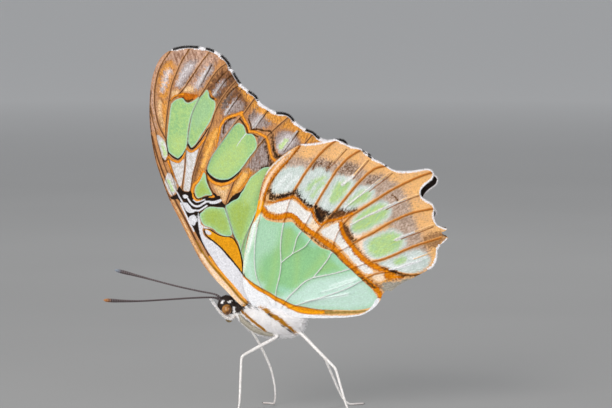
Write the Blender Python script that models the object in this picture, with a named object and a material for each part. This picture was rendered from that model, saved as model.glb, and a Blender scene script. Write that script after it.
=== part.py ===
"""A malachite butterfly, life size, at rest on its four walking legs with its wings closed.

Metres, +Z up. The animal faces -X and its left side faces -Y. It stands on Z = 0.
Outlines, veins and limbs are read off the photograph: px and py are pixels of its 612 x 408
frame, and the forewing's real length turns them into metres.
"""

import math

import bmesh
import bpy
from mathutils import Vector
from mathutils.geometry import delaunay_2d_cdt, intersect_point_line

MM = 0.001

# Driving dimensions
FOREWING_LENGTH = 48 * MM
GAP = 0.3 * MM
MEMBRANE = 0.5 * MM
FOREWING_RIDGE = 0.15 * MM
HINDWING_RIDGE = 0.2 * MM
RIDGE_FOOT = 0.3 * MM
FOREWING_INSIDE = 0.2 * MM
HINDWING_INSIDE = 1.15 * MM
FOREWING_ROOT_SPREAD = 0.85 * MM
HINDWING_ROOT_SPREAD = 0.9 * MM
SPREAD_FULL_WITHIN = 1.8 * MM
SPREAD_ENDS_AT = 11 * MM
RIGHT_HINDWING_DROOP = math.radians(2.2)
DROOP_FULL_ABOVE = math.radians(32)
DROOP_ENDS_AT = math.radians(14)

# How the photograph's frame lies on the animal
FOREWING_ROOT_PX = (246, 310)
FOREWING_APEX_PX = (174, 49)
LOOK_DOWN = math.radians(5)
MIDDLE_PX = 278
FLOOR_PX = 414
PIXEL = FOREWING_LENGTH / math.dist(FOREWING_ROOT_PX, FOREWING_APEX_PX)

# How finely curves are cut
SKIN_SIDES = 18
LIMB_SIDES = 8
FEELER_SIDES = 6
EYE_SIDES = 14
LONGEST_STEP = 2.1 * MM
POINTS_MERGE_WITHIN_MM = 0.02
SHARP_ABOVE = math.radians(50)

FOREWING_OUTLINE = (
    # costa, root to apex
    [(249, 312), (238, 302), (227, 291), (216, 280), (207, 269.5), (200, 259.5), (190, 240),
     (180, 220), (170, 200), (162.5, 180), (156, 160), (152.2, 140), (150.3, 120), (150.3, 104),
     (151.5, 88), (154, 75), (159, 62.5), (165, 55), (172, 50)],
    # outer margin, apex to tornus
    [(172, 50), (181, 47.6), (191, 46.8), (202, 47.8), (212, 50.2), (221, 55), (228, 61.5),
     (232, 69), (238, 79), (243, 86), (250, 91.5), (256, 96), (261, 103), (268, 108),
     (276, 112), (284, 113), (290, 115.5), (295, 121), (300, 125.5), (307, 129.5), (313, 132),
     (319, 137), (327, 140), (336, 139.2), (343, 139.8), (348, 144)],
    # inner margin, tornus to root
    [(348, 144), (344, 157), (334, 180), (321, 205), (306, 233), (291, 262), (278, 288),
     (270, 306)],
    [(270, 306), (260, 313), (249, 312)],
)
FOREWING_VEINS = {
    "Sc": [(246, 307), (232, 291), (219, 276), (207, 260), (197, 242), (187, 222), (177, 203),
           (168, 184), (161, 166), (156, 150), (152.5, 136)],
    "R1": [(177, 191), (170, 177), (164, 162), (159.5, 146), (156.5, 132), (153, 118), (151, 106)],
    "R": [(248, 307), (237, 295), (225, 280), (213, 262), (202, 242), (193, 224), (186, 211),
          (180, 199), (176, 187), (172.5, 175), (169.5, 162), (168, 151), (166.5, 139)],
    "R3": [(166.5, 139), (161.5, 130), (158, 120), (155.8, 108), (155.3, 96), (156.5, 84),
           (159.5, 72), (164.5, 61.5), (172, 51)],
    "R4": [(166.5, 139), (166.5, 127), (168, 113), (169.8, 100), (172.5, 86), (177.5, 73),
           (183, 61), (191, 48)],
    "R5": [(169.8, 101), (177, 96.5), (184, 89.5), (190, 81), (196, 72), (202, 63), (211, 51.5)],
    "M1": [(182, 192), (183.5, 178), (185.5, 162), (187.5, 145), (189, 128), (192, 115),
           (198, 101), (205, 90), (212, 79), (219, 70), (229, 62.5)],
    "M2": [(190, 192), (194, 172), (199, 157), (205, 141), (211, 126), (215, 114), (220, 103),
           (226, 94), (232, 86.5), (239, 79.5)],
    "M3": [(225, 206), (219, 199), (213.5, 193), (209, 184), (207, 175), (208, 165), (213, 155),
           (221, 143.5), (230, 131), (238, 120.5), (245, 112.5), (251, 104), (256.5, 96.5)],
    "CuA1": [(225, 206), (229, 195), (233.5, 183), (240, 171), (248, 159.5), (256.5, 148.5),
             (266, 137.5), (277, 127), (290.5, 115.5)],
    "Cu": [(256, 308), (248, 291), (243.5, 273), (240, 254), (235, 239), (230, 223), (225, 206)],
    "CuA2": [(240, 253), (244.5, 238), (251, 224), (260, 207), (272, 188), (285, 170),
             (299, 151), (314, 132.5)],
    "A": [(261, 308), (265, 292), (273, 270), (285, 244), (299, 217), (314, 190), (329, 165),
          (343, 140)],
}

HINDWING_OUTLINE = (
    # costa, root to apex
    [(262, 313), (253, 305), (247, 295), (243.5, 285), (243, 272), (243.8, 258), (246.5, 244),
     (250.5, 229), (255.5, 215), (258.5, 200), (261, 187), (265.5, 174), (272, 164.5),
     (281, 156.5), (290, 150), (300, 144)],
    # outer margin, apex to the tail's tip
    [(300, 144), (309, 143.3), (320, 142), (329, 140.6), (336, 139.3), (342, 142), (348, 145),
     (355, 147), (361, 148.6), (366, 153), (371, 157), (378, 160.5), (385, 164.5),
     (391, 168.5), (397, 170.3), (406, 170.5), (416, 169.6), (425, 168.3), (430.5, 169.3),
     (433.6, 173)],
    # behind the tail to the end of CuA1
    [(433.6, 173), (431.5, 179), (426, 183.5), (422, 187.5), (420, 192), (421.5, 196),
     (426, 199.7), (431.5, 202.7), (434.3, 208)],
    # scallop and torn point at the end of CuA2
    [(434.3, 208), (433.6, 214), (434.5, 220.5), (438, 225.3), (442, 227.2), (446.5, 228)],
    [(446.5, 228), (445, 231), (441, 232)],
    [(441, 232), (443.5, 235.2), (447.5, 237)],
    # lower outer margin to the tornus
    [(447.5, 237), (444, 241.5), (439.5, 245.5), (437.2, 250), (437.2, 256), (435.5, 261.5),
     (432.5, 266.5), (428, 269.5), (420, 273.5), (412, 277.5), (405, 280.5), (398, 284.5),
     (391, 290)],
    # inner margin, which wraps the abdomen
    [(391, 290), (386, 289.5), (382.5, 293)],
    [(382.5, 293), (379.5, 300), (374, 306.5), (368, 310.7), (361, 314), (350, 316),
     (335, 316.8), (318, 317), (303, 316.8), (292, 315.5)],
    [(292, 315.5), (278, 316), (262, 313)],
)
HINDWING_VEINS = {
    "ScR1": [(270, 303), (262, 289), (256.5, 276), (254.5, 262), (254.7, 248), (256, 234),
             (258.5, 220), (262, 206), (266, 192), (271.5, 181), (279, 170), (288, 160),
             (300, 145)],
    "Rs": [(275, 303), (276, 290), (279.5, 275), (281, 262), (280.5, 248), (281.5, 234),
           (284, 221), (288, 205), (293, 193), (299, 182), (307, 170), (316, 158),
           (325.5, 148), (336, 139.5)],
    "M1": [(281, 262), (287, 257), (292, 253), (294.5, 246), (297, 237), (303, 227.5),
           (309, 216.5), (315, 205), (322, 193), (330, 180), (338, 168), (348, 157.5),
           (361, 149)],
    "M2": [(292, 253), (299, 249.5), (305, 245.5), (310.5, 238.5), (318, 229.5), (328, 218.5),
           (337, 208), (345.5, 197.5), (355, 186), (365, 175.5), (375, 168), (386, 165)],
    "M3": [(313, 276.5), (321, 267), (328.5, 257), (332, 249), (335.5, 237), (341, 226.5),
           (350, 216), (362, 208), (375, 199.8), (388, 191.2), (403, 183.3), (418, 176.5),
           (433, 171)],
    "CuA1": [(331.5, 252), (341, 249.5), (350, 244.5), (361, 238), (373, 232), (386, 224),
             (399, 217.5), (413, 212), (434, 207.5)],
    "CuA2": [(313, 276.5), (327, 273.8), (341, 270.5), (355, 266), (370, 261.2), (384, 258),
             (397, 252.8), (410, 247), (423, 242.5), (441, 237)],
    "Cu": [(281, 306), (288, 296.5), (297, 287.5), (305, 280.5), (313, 276.5)],
    "A1": [(286, 307), (305, 301), (328, 294), (348, 286.5), (362, 279), (376, 272.5),
           (392, 270.5), (407, 273.5), (419, 273.5)],
    "A2": [(291, 308), (307, 310), (327, 311.3), (348, 311), (363, 309.5), (375, 301)],
}

# Trunk: px, py of the middle, half height in pixels, half width in millimetres
THORAX_STATIONS = [
    (237, 310.5, 7.5, 1.1), (239.5, 311, 10, 1.5), (244, 312.5, 13.2, 1.95),
    (252, 314.8, 16.6, 2.3), (262, 317, 18.6, 2.5), (273, 318, 19, 2.5),
    (284, 318.5, 17.8, 2.35), (294, 318.2, 16.6, 2.1), (301, 317.6, 16, 1.75),
    (304.5, 316.5, 13.8, 1.35),
]
HEAD_STATIONS = [
    (217.5, 306, 3.6, 0.4), (219, 305.7, 6.2, 0.7), (222, 305.4, 8.4, 0.92),
    (226, 305.6, 9.6, 1.0), (230, 307, 10, 1.0), (233, 309.2, 9.6, 0.9),
    (235.2, 310.6, 7.4, 0.8),
]
ABDOMEN_AXIS = [(306.3, 309.3), (318, 307.4), (330, 305.5), (344, 303.1), (358, 300.8),
                (374, 298)]
ABDOMEN_RADII = [1.3, 1.62, 1.7, 1.62, 1.3, 0.4]
ABDOMEN_SEGMENTS = 8
ABDOMEN_GROOVE = 0.93
BODY_AXIS_PX = [(240, 311.5), (273, 317), (306, 309.5), (374, 298)]

EYE_PX = (226.7, 309.2)
EYE_RADII = (0.89 * MM, 0.95 * MM, 0.96 * MM)
EYE_MIDDLE = 0.9 * MM
EYE_RINGS = 8
EYE_CAP = 0.06

# Limbs: px, py, sideways place and radius in millimetres, of the left side
PALP = [(234, 315.5, 0.55, 0.34), (232, 319, 0.78, 0.36), (228, 318.9, 0.82, 0.35),
        (224, 317.2, 0.82, 0.34), (218.5, 311.9, 0.78, 0.32), (214, 306.6, 0.72, 0.28),
        (210, 301, 0.66, 0.17)]
FORELEG = [(241, 314, 1.3, 0.3), (245, 320.5, 1.85, 0.42), (252, 326.5, 2.05, 0.46),
           (260, 330.8, 2.0, 0.44), (267, 333.4, 1.85, 0.38), (272.5, 334.6, 1.7, 0.22)]
LEFT_ANTENNA = [(221, 300.5, 0.4, 0.25), (213, 297.6, 0.9, 0.25), (195, 297.7, 1.9, 0.25),
                (170, 299, 3.2, 0.25), (143, 300.3, 4.5, 0.26), (126, 300.2, 5.3, 0.3),
                (116, 299.7, 5.8, 0.36), (109, 299.3, 6.1, 0.34), (106, 299.1, 6.2, 0.16)]
RIGHT_ANTENNA = [(221, 299.5, -0.4, 0.25), (214, 294.5, -0.8, 0.25), (198, 291.6, -1.8, 0.25),
                 (175, 286.8, -3.1, 0.25), (150, 280.6, -4.4, 0.26), (133, 276.2, -5.3, 0.3),
                 (123, 273.7, -5.8, 0.36), (115.5, 271.9, -6.1, 0.34), (112, 271.1, -6.2, 0.16)]
# The last stations of a walking leg lie on the floor, where py is left out
LEFT_MIDLEG = [(267, 328, 0.9, 0.42), (272, 332.5, 1.2, 0.46), (277, 336, 1.5, 0.4),
               (273.5, 339, 1.9, 0.4), (260, 346, 3.2, 0.4), (246.5, 353, 4.6, 0.34),
               (243, 355.5, 5.0, 0.34), (241.8, 359.5, 5.1, 0.3), (241, 378, 5.8, 0.29),
               (240.3, 397, 6.4, 0.27), (239.6, 404, 6.6, 0.24), (238.3, 411, 6.7, 0.24),
               (235.5, None, 6.9, 0.25), (229.5, None, 7.2, 0.25), (223, None, 7.6, 0.25)]
RIGHT_MIDLEG = [(267, 328, -0.9, 0.42), (272, 332.5, -1.2, 0.46), (276.5, 335.5, -1.6, 0.4),
                (274.5, 336.5, -2.3, 0.4), (262, 333, -4.9, 0.4), (249, 328, -7.1, 0.34),
                (246, 328, -7.4, 0.34), (248.5, 330.8, -7.5, 0.31), (259, 348, -7.8, 0.3),
                (268.5, 368.5, -8.1, 0.27), (272, 380, -8.2, 0.24), (274, 391, -8.3, 0.24),
                (274.6, 400.5, -8.4, 0.24), (273, None, -8.6, 0.25), (268, None, -8.9, 0.25),
                (262, None, -9.2, 0.25)]
LEFT_HINDLEG = [(291, 327, 0.8, 0.42), (296, 331.5, 1.1, 0.44), (301, 334, 1.3, 0.38),
                (305, 337.5, 1.7, 0.36), (319, 351.5, 3.1, 0.35), (332.5, 364.8, 4.4, 0.32),
                (335, 367.8, 4.7, 0.32), (336.5, 371.5, 4.9, 0.3), (341, 387, 5.7, 0.28),
                (345.5, 402, 6.5, 0.26), (348, 408.5, 6.8, 0.24), (351, 413, 7.0, 0.24),
                (356, None, 7.2, 0.25), (363, None, 7.5, 0.25), (370, None, 7.8, 0.25)]
RIGHT_HINDLEG = [(291, 327, -0.8, 0.42), (296, 331.5, -1.1, 0.44), (301, 333.5, -1.3, 0.38),
                 (304, 336.5, -1.8, 0.36), (313, 347, -3.4, 0.35), (322, 357.5, -5.0, 0.32),
                 (324.5, 360.5, -5.4, 0.32), (326.5, 364, -5.6, 0.3), (332, 377, -6.4, 0.28),
                 (338, 391, -7.1, 0.26), (341.5, 399, -7.5, 0.24), (345.5, 405, -7.7, 0.24),
                 (351, None, -7.9, 0.25), (358, None, -8.2, 0.25), (365, None, -8.5, 0.25)]
FOOT_MIDDLE = 0.2 * MM
COIL_PX = (227, 321.2)
COIL_ROOT_PX = (230.5, 315)
COIL_RADII = (0.75 * MM, 0.28 * MM)
COIL_TURNS = 1.3
COIL_STARTS_AT = math.radians(60)
COIL_STEPS = 20
COIL_RADIUS = 0.2 * MM
COIL_THINS_BY = 0.3

FINISHES = {
    "wing_scales": ("A9C98F", 0.6),
    "body_hair": ("E4E2DC", 0.9),
    "eye": ("A8672A", 0.25),
    "feeler": ("3A2C2A", 0.5),
    "leg": ("C9BDBE", 0.6),
}


def material(name):
    """The plain finish of that name from FINISHES, made once."""
    if name in bpy.data.materials:
        return bpy.data.materials[name]
    made = bpy.data.materials.new(name)
    made.use_nodes = True
    shader = made.node_tree.nodes["Principled BSDF"]
    colour, roughness = FINISHES[name]
    levels = [int(colour[i : i + 2], 16) / 255 for i in (0, 2, 4)]
    shader.inputs["Base Color"].default_value = (*(level**2.2 for level in levels), 1)
    shader.inputs["Roughness"].default_value = roughness
    shader.inputs["Metallic"].default_value = 0
    return made


def plane(px, py):
    """Where a pixel falls on the animal's middle plane: X and Z."""
    return Vector(((px - MIDDLE_PX) * PIXEL, (FLOOR_PX - py) * PIXEL / math.cos(LOOK_DOWN)))


def place(px, py, left):
    """A point seen at that pixel and that many millimetres to the left. No py is a foot's height."""
    x, z = plane(px, FLOOR_PX if py is None else py)
    z = FOOT_MIDDLE if py is None else z + left * MM * math.tan(LOOK_DOWN)
    return Vector((x, -left * MM, z))


def smooth(points):
    """The given points with one more between each pair that lies far apart, on a smooth curve."""
    points = [Vector(point) for point in points]
    padded = [2 * points[0] - points[1], *points, 2 * points[-1] - points[-2]]
    curve = []
    for before, start, end, after in zip(padded, padded[1:], padded[2:], padded[3:]):
        curve.append(start)
        if (end - start).length > LONGEST_STEP:
            curve.append((9 * (start + end) - before - after) / 16)
    return [*curve, points[-1]]


def node_object(name, mesh, finish):
    """Links a mesh as the object of one node."""
    mesh.materials.append(material(finish))
    node = bpy.data.objects.new(name, mesh)
    bpy.context.scene.collection.objects.link(node)
    return node


def closed_loft(name, rings, finish):
    """One closed body through rings of equal count, with a flat cap at each end."""
    work = bmesh.new()
    corners = [[work.verts.new(point) for point in ring] for ring in rings]
    for ring, following in zip(corners, corners[1:]):
        for i in range(len(ring)):
            j = (i + 1) % len(ring)
            work.faces.new((ring[i], ring[j], following[j], following[i]))
    work.faces.new(corners[0])
    work.faces.new(corners[-1])
    bmesh.ops.recalc_face_normals(work, faces=work.faces)
    mesh = bpy.data.meshes.new(name)
    work.to_mesh(mesh)
    work.free()
    mesh.shade_smooth()
    mesh.set_sharp_from_angle(angle=SHARP_ABOVE)
    return node_object(name, mesh, finish)


def upright_ring(px, py, half_height, half_width, grown=0.0):
    """An ellipse across the trunk at a station, grown outwards by that much."""
    x, z = plane(px, py)
    ring = []
    for i in range(SKIN_SIDES):
        angle = 2 * math.pi * (i + 0.5) / SKIN_SIDES
        y = (half_width + grown) * math.sin(angle)
        ring.append(Vector((x, y, z + (half_height + grown) * math.cos(angle))))
    return ring


def trunk(name, stations, finish, grown=0.0):
    """A length of the trunk through its stations, or that length grown on all sides."""
    rings = [
        upright_ring(px, py, half_height * PIXEL, half_width * MM, grown)
        for px, py, half_height, half_width in stations
    ]
    for ring, direction in ((rings[0], -1), (rings[-1], 1)):
        for point in ring:
            point.x += direction * grown
    return closed_loft(name, rings, finish)


def as_cutter(cutter):
    """Keeps an object as a helper that is no node."""
    cutter.hide_render = True
    cutter.display_type = "WIRE"
    return cutter


def keep_largest(node):
    """Leaves only the largest connected surface of a node."""
    work = bmesh.new()
    work.from_mesh(node.data)
    left = set(work.verts)
    groups = []
    while left:
        group, front = set(), [left.pop()]
        while front:
            corner = front.pop()
            group.add(corner)
            for edge in corner.link_edges:
                other = edge.other_vert(corner)
                if other in left:
                    left.remove(other)
                    front.append(other)
        groups.append(group)
    groups.sort(key=len)
    for group in groups[:-1]:
        bmesh.ops.delete(work, geom=list(group), context="VERTS")
    work.to_mesh(node.data)
    work.free()


def fit_against(node, cutters):
    """Cuts a node back from its grown neighbours, so that it meets them face to face."""
    for cutter in cutters:
        cut = node.modifiers.new("fit", "BOOLEAN")
        cut.operation = "DIFFERENCE"
        cut.solver = "EXACT"
        cut.object = cutter
    bpy.context.view_layer.update()
    whole = node.evaluated_get(bpy.context.evaluated_depsgraph_get())
    mesh = bpy.data.meshes.new_from_object(whole)
    node.modifiers.clear()
    node.data = mesh
    keep_largest(node)
    return node


def limb(name, stations, finish, sides=LIMB_SIDES, mirrored=False):
    """A tapering limb through its stations, flattened where it lies on the floor."""
    middles = [place(px, py, left) for px, py, left, _ in stations]
    if mirrored:
        middles = [Vector((middle.x, -middle.y, middle.z)) for middle in middles]
    rings = []
    for i, middle in enumerate(middles):
        before, after = middles[max(i - 1, 0)], middles[min(i + 1, len(middles) - 1)]
        along = (after - before).normalized()
        across = (Vector((0, 1, 0)) - along * along.y).normalized()
        upwards = along.cross(across)
        radius = stations[i][3] * MM
        ring = []
        for k in range(sides):
            angle = 2 * math.pi * (k + 0.5) / sides
            point = middle + radius * (across * math.cos(angle) + upwards * math.sin(angle))
            point.z = max(point.z, 0.0)
            ring.append(point)
        rings.append(ring)
    return closed_loft(name, rings, finish)


def distance_to(point, line):
    """Distance from a point to a line of points, in their plane."""
    best = math.inf
    for start, end in zip(line, line[1:]):
        foot, share = intersect_point_line(point, start, end)
        if share < 0:
            foot = start
        elif share > 1:
            foot = end
        best = min(best, (Vector(point) - Vector(foot[:2])).length)
    return best


def body_spread(point, body_axis):
    """1 at the trunk, falling smoothly to 0 where the closed wings lie flat together."""
    distance = distance_to(point, body_axis)
    share = (distance - SPREAD_FULL_WITHIN) / (SPREAD_ENDS_AT - SPREAD_FULL_WITHIN)
    share = min(max(share, 0.0), 1.0)
    return 1 - share * share * (3 - 2 * share)


def beside(line, offset):
    """A line of points moved sideways by an offset in its plane."""
    moved = []
    for i, point in enumerate(line):
        before, after = line[max(i - 1, 0)], line[min(i + 1, len(line) - 1)]
        along = (after - before).normalized()
        moved.append(point + offset * Vector((-along.y, along.x)))
    return moved


def veined_fill(outline, veins):
    """Points and triangles that fill an outline, with edges on each vein's crest and feet."""
    points, edges = list(outline), []
    for line in veins:
        for offset in (-RIDGE_FOOT, 0.0, RIDGE_FOOT):
            first = len(points)
            points += beside(line, offset)
            edges += [(i, i + 1) for i in range(first, len(points) - 1)]
    in_mm = [point / MM for point in points]
    ring = list(range(len(outline)))
    filled = delaunay_2d_cdt(in_mm, edges, [ring], 1, POINTS_MERGE_WITHIN_MM)
    return [Vector(point) * MM for point in filled[0]], filled[2]


def wing(name, runs, veins, inside, root_spread, ridge, right, droop=0.0):
    """One wing as a thin plate with its veins raised on the outer face.

    Both faces carry the same triangles. droop swings the wing's tip down about its root; the
    part behind DROOP_FULL_ABOVE folds up by it, and behind DROOP_ENDS_AT it stays.
    """
    hub = plane(*runs[0][0])

    def settled(px, py):
        arm = plane(px, py) - hub
        rise = math.atan2(arm.y, arm.x)
        share = (rise - DROOP_ENDS_AT) / (DROOP_FULL_ABOVE - DROOP_ENDS_AT)
        turn = droop * min(max(share, 0.0), 1.0)
        swung = Vector((arm.x * math.cos(turn) + arm.y * math.sin(turn),
                        arm.y * math.cos(turn) - arm.x * math.sin(turn)))
        return hub + swung

    outline = []
    for run in runs:
        outline += smooth([settled(*point) for point in run])[:-1]
    outline.reverse()
    lines = [smooth([settled(*point) for point in line]) for line in veins.values()]
    points, triangles = veined_fill(outline, lines)
    body_axis = [plane(*point) for point in BODY_AXIS_PX]
    outward = 1 if right else -1

    work = bmesh.new()
    inner, outer = [], []
    for point in points:
        near = inside + root_spread * body_spread(point, body_axis)
        nearest = min(distance_to(point, line) for line in lines)
        raised = ridge * max(0.0, 1 - nearest / RIDGE_FOOT)
        inner.append(work.verts.new((point.x, outward * near, point.y)))
        outer.append(work.verts.new((point.x, outward * (near + MEMBRANE + raised), point.y)))
    borders = {}
    for triangle in triangles:
        work.faces.new([outer[i] for i in triangle])
        work.faces.new([inner[i] for i in reversed(triangle)])
        for i, a in enumerate(triangle):
            b = triangle[(i + 1) % 3]
            borders[frozenset((a, b))] = None if frozenset((a, b)) in borders else (a, b)
    for border in borders.values():
        if border:
            a, b = border
            work.faces.new((outer[b], outer[a], inner[a], inner[b]))
    bmesh.ops.recalc_face_normals(work, faces=work.faces)
    mesh = bpy.data.meshes.new(name)
    work.to_mesh(mesh)
    work.free()
    return node_object(name, mesh, "wing_scales")


def abdomen_stations():
    """Rings of the abdomen: each segment starts narrow in a groove and swells behind it."""
    stations = []
    last = len(ABDOMEN_AXIS) - 1
    for i in range(2 * ABDOMEN_SEGMENTS + 1):
        place_on = last * i / (2 * ABDOMEN_SEGMENTS)
        k = min(int(place_on), last - 1)
        share = place_on - k
        px, py = Vector(ABDOMEN_AXIS[k]).lerp(Vector(ABDOMEN_AXIS[k + 1]), share)
        radius = ABDOMEN_RADII[k] * (1 - share) + ABDOMEN_RADII[k + 1] * share
        if i % 2 == 0 and 0 < i < 2 * ABDOMEN_SEGMENTS:
            radius *= ABDOMEN_GROOVE
        stations.append((px, py, radius * MM / PIXEL, radius))
    return stations


def eye(name, outward):
    """An oval compound eye that bulges from the side of the head."""
    x, z = plane(*EYE_PX)
    rings = []
    for i in range(EYE_RINGS + 1):
        angle = math.pi * (EYE_CAP + (1 - 2 * EYE_CAP) * i / EYE_RINGS)
        wide = math.sin(angle)
        y = outward * (EYE_MIDDLE - EYE_RADII[1] * math.cos(angle))
        rings.append([
            Vector((x + EYE_RADII[0] * wide * math.cos(turn), y,
                    z + EYE_RADII[2] * wide * math.sin(turn)))
            for turn in (2 * math.pi * k / EYE_SIDES for k in range(EYE_SIDES))
        ])
    return closed_loft(name, rings, "eye")


def coil(name):
    """The rolled proboscis, a flat spiral below the head, between the palps."""
    hub = plane(*COIL_PX)
    middles = [plane(*COIL_ROOT_PX)]
    for i in range(COIL_STEPS + 1):
        share = i / COIL_STEPS
        angle = COIL_STARTS_AT + 2 * math.pi * COIL_TURNS * share
        radius = COIL_RADII[0] + (COIL_RADII[1] - COIL_RADII[0]) * share
        middles.append(hub + radius * Vector((math.cos(angle), math.sin(angle))))
    rings = []
    for i, middle in enumerate(middles):
        before, after = middles[max(i - 1, 0)], middles[min(i + 1, len(middles) - 1)]
        along = (after - before).normalized()
        outwards = Vector((along.y, 0, -along.x))
        thick = COIL_RADIUS * (1 - COIL_THINS_BY * i / len(middles))
        rings.append([
            Vector((middle.x, 0, middle.y))
            + thick * (outwards * math.cos(a) + Vector((0, math.sin(a), 0)))
            for a in (2 * math.pi * (k + 0.5) / FEELER_SIDES for k in range(FEELER_SIDES))
        ])
    return closed_loft(name, rings, "feeler")


def stand_over_origin(nodes):
    """Puts all nodes under one empty, so that the middle of their box is over the origin."""
    corners = [node.matrix_world @ Vector(corner) for node in nodes for corner in node.bound_box]
    low = Vector(map(min, *corners))
    high = Vector(map(max, *corners))
    stance = bpy.data.objects.new("butterfly", None)
    bpy.context.scene.collection.objects.link(stance)
    for node in nodes:
        node.parent = stance
    stance.location = (-(low.x + high.x) / 2, -(low.y + high.y) / 2, -low.z)


def main():
    for old in list(bpy.data.objects):
        bpy.data.objects.remove(old)

    near_thorax = as_cutter(trunk("near_thorax", THORAX_STATIONS, "body_hair", GAP))
    near_head = as_cutter(trunk("near_head", HEAD_STATIONS, "body_hair", GAP))

    nodes = [
        trunk("thorax", THORAX_STATIONS, "body_hair"),
        trunk("head", HEAD_STATIONS, "body_hair"),
        trunk("abdomen", abdomen_stations(), "body_hair"),
        fit_against(eye("eye_left", -1), [near_head]),
        fit_against(eye("eye_right", 1), [near_head]),
        fit_against(coil("proboscis"), [near_head]),
        fit_against(limb("antenna_left", LEFT_ANTENNA, "feeler", FEELER_SIDES), [near_head]),
        fit_against(limb("antenna_right", RIGHT_ANTENNA, "feeler", FEELER_SIDES), [near_head]),
        fit_against(limb("midleg_left", LEFT_MIDLEG, "leg"), [near_thorax]),
        fit_against(limb("midleg_right", RIGHT_MIDLEG, "leg"), [near_thorax]),
        fit_against(limb("hindleg_left", LEFT_HINDLEG, "leg"), [near_thorax]),
        fit_against(limb("hindleg_right", RIGHT_HINDLEG, "leg"), [near_thorax]),
    ]
    for name, mirrored in (("left", False), ("right", True)):
        palp = limb("palp_" + name, PALP, "body_hair", mirrored=mirrored)
        foreleg = limb("foreleg_" + name, FORELEG, "body_hair", mirrored=mirrored)
        nodes += [fit_against(palp, [near_head]), fit_against(foreleg, [near_thorax])]

    fore = (FOREWING_OUTLINE, FOREWING_VEINS, FOREWING_INSIDE, FOREWING_ROOT_SPREAD,
            FOREWING_RIDGE)
    hind = (HINDWING_OUTLINE, HINDWING_VEINS, HINDWING_INSIDE, HINDWING_ROOT_SPREAD,
            HINDWING_RIDGE)
    wings = [
        wing("forewing_left", *fore, right=False),
        wing("forewing_right", *fore, right=True),
        wing("hindwing_left", *hind, right=False),
        wing("hindwing_right", *hind, right=True, droop=RIGHT_HINDWING_DROOP),
    ]
    nodes += [fit_against(each, [near_thorax]) for each in wings]
    bpy.context.view_layer.update()
    stand_over_origin(nodes)


main()
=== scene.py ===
"""Looks of a malachite butterfly, life size, at rest with its wings closed.

Metres, +Z up. The animal faces -X and its left side faces -Y. Markings are drawn in pixels of
the photograph's 612 x 408 frame and laid on the wings by the forewing's real length.
"""

import math
import random

import bpy
import numpy as np
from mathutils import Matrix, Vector
from mathutils.geometry import delaunay_2d_cdt


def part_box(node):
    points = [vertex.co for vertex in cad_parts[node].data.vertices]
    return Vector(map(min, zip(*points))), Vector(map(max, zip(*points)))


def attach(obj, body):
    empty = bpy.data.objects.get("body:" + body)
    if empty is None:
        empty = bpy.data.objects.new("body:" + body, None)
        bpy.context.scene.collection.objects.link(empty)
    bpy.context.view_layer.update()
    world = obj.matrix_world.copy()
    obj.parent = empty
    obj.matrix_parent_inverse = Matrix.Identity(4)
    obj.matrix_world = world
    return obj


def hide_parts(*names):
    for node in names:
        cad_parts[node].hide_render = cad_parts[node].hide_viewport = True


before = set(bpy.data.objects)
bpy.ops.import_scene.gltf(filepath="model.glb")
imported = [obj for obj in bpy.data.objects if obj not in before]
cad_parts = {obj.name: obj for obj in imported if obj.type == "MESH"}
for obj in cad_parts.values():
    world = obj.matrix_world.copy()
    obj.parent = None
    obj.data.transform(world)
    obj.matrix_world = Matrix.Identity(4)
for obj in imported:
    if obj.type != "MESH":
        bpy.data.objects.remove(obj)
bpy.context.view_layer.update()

MM = 0.001
SIDES = ((-1, "left"), (1, "right"))

# Scale and place: the forewing's real length, the camera's tilt, and pixels of the photograph
FOREWING_LENGTH = 48 * MM
LOOK_DOWN = math.radians(5)
FRAME_PX = (612, 408)
FOREWING_ROOT_PX = (246, 310)
FOREWING_APEX_PX = (174, 49)
HINDWING_ROOT_PX = (262, 313)
FLOOR_PX = 414
TAIL_PX = 447.5
PIXEL = FOREWING_LENGTH / math.dist(FOREWING_ROOT_PX, FOREWING_APEX_PX)
UPRIGHT_PIXEL = PIXEL / math.cos(LOOK_DOWN)
PIXEL_MM = PIXEL / MM
TAIL_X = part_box("hindwing_left")[1].x
MIDDLE_Y = (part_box("hindwing_left")[1].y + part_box("hindwing_right")[0].y) / 2

# The wings stand further apart near the trunk: the spread's reach in millimetres
SPREAD_FULL_WITHIN = 1.8
SPREAD_ENDS_AT = 11
BODY_AXIS_PX = [(240, 311.5), (273, 317), (306, 309.5), (374, 298)]
# A drooping wing turns fully above one angle and not at all below the other
DROOP_FULL_ABOVE = math.radians(33)
DROOP_ENDS_AT = math.radians(25)
# Thickness of the solids' plates and of the sheets, and the sheets' relief, in millimetres
PLATE = 0.5
SHEET = 0.18
HOLLOW = 0.07
DIP = 0.1
FOLD_CREST = 0.1
UPPER_RIDGE_SHARE = 0.4
# How far veins, folds, their dips and any field reach in the plane, in pixels
VEIN_FOOT_PX = 1.15
FOLD_FOOT_PX = 1.0
VALLEY_FOOT_PX = 5
FAR_PX = 7.0
# How far the membrane reaches out under the fringe, and the fringe is rooted past its depth
UNDER_FRINGE_PX = 0.7
ROOTED_PX = 0.2
# Fringe scales in pixels: the reach of their two rows past the depth, how much it varies, what
# black ones add, and their least and greatest half width. Those near a run's ends are shorter
FRINGE_ROWS_PX = (0.3, 0.8)
FRINGE_VARIES_PX = 0.3
BLACK_ADDS_PX = 0.4
FRINGE_WIDTHS_PX = (0.18, 0.24)
SHORT_AT_ENDS = 4
SHORT_SHARE = 0.8
# The wings' mesh, in pixels: its grid, the gap it leaves round lines, and what is merged
GRID_PX = 1.5
CLEAR_PX = 0.9
MERGE_PX = 0.12
SHARP_ABOVE = math.radians(60)

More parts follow.
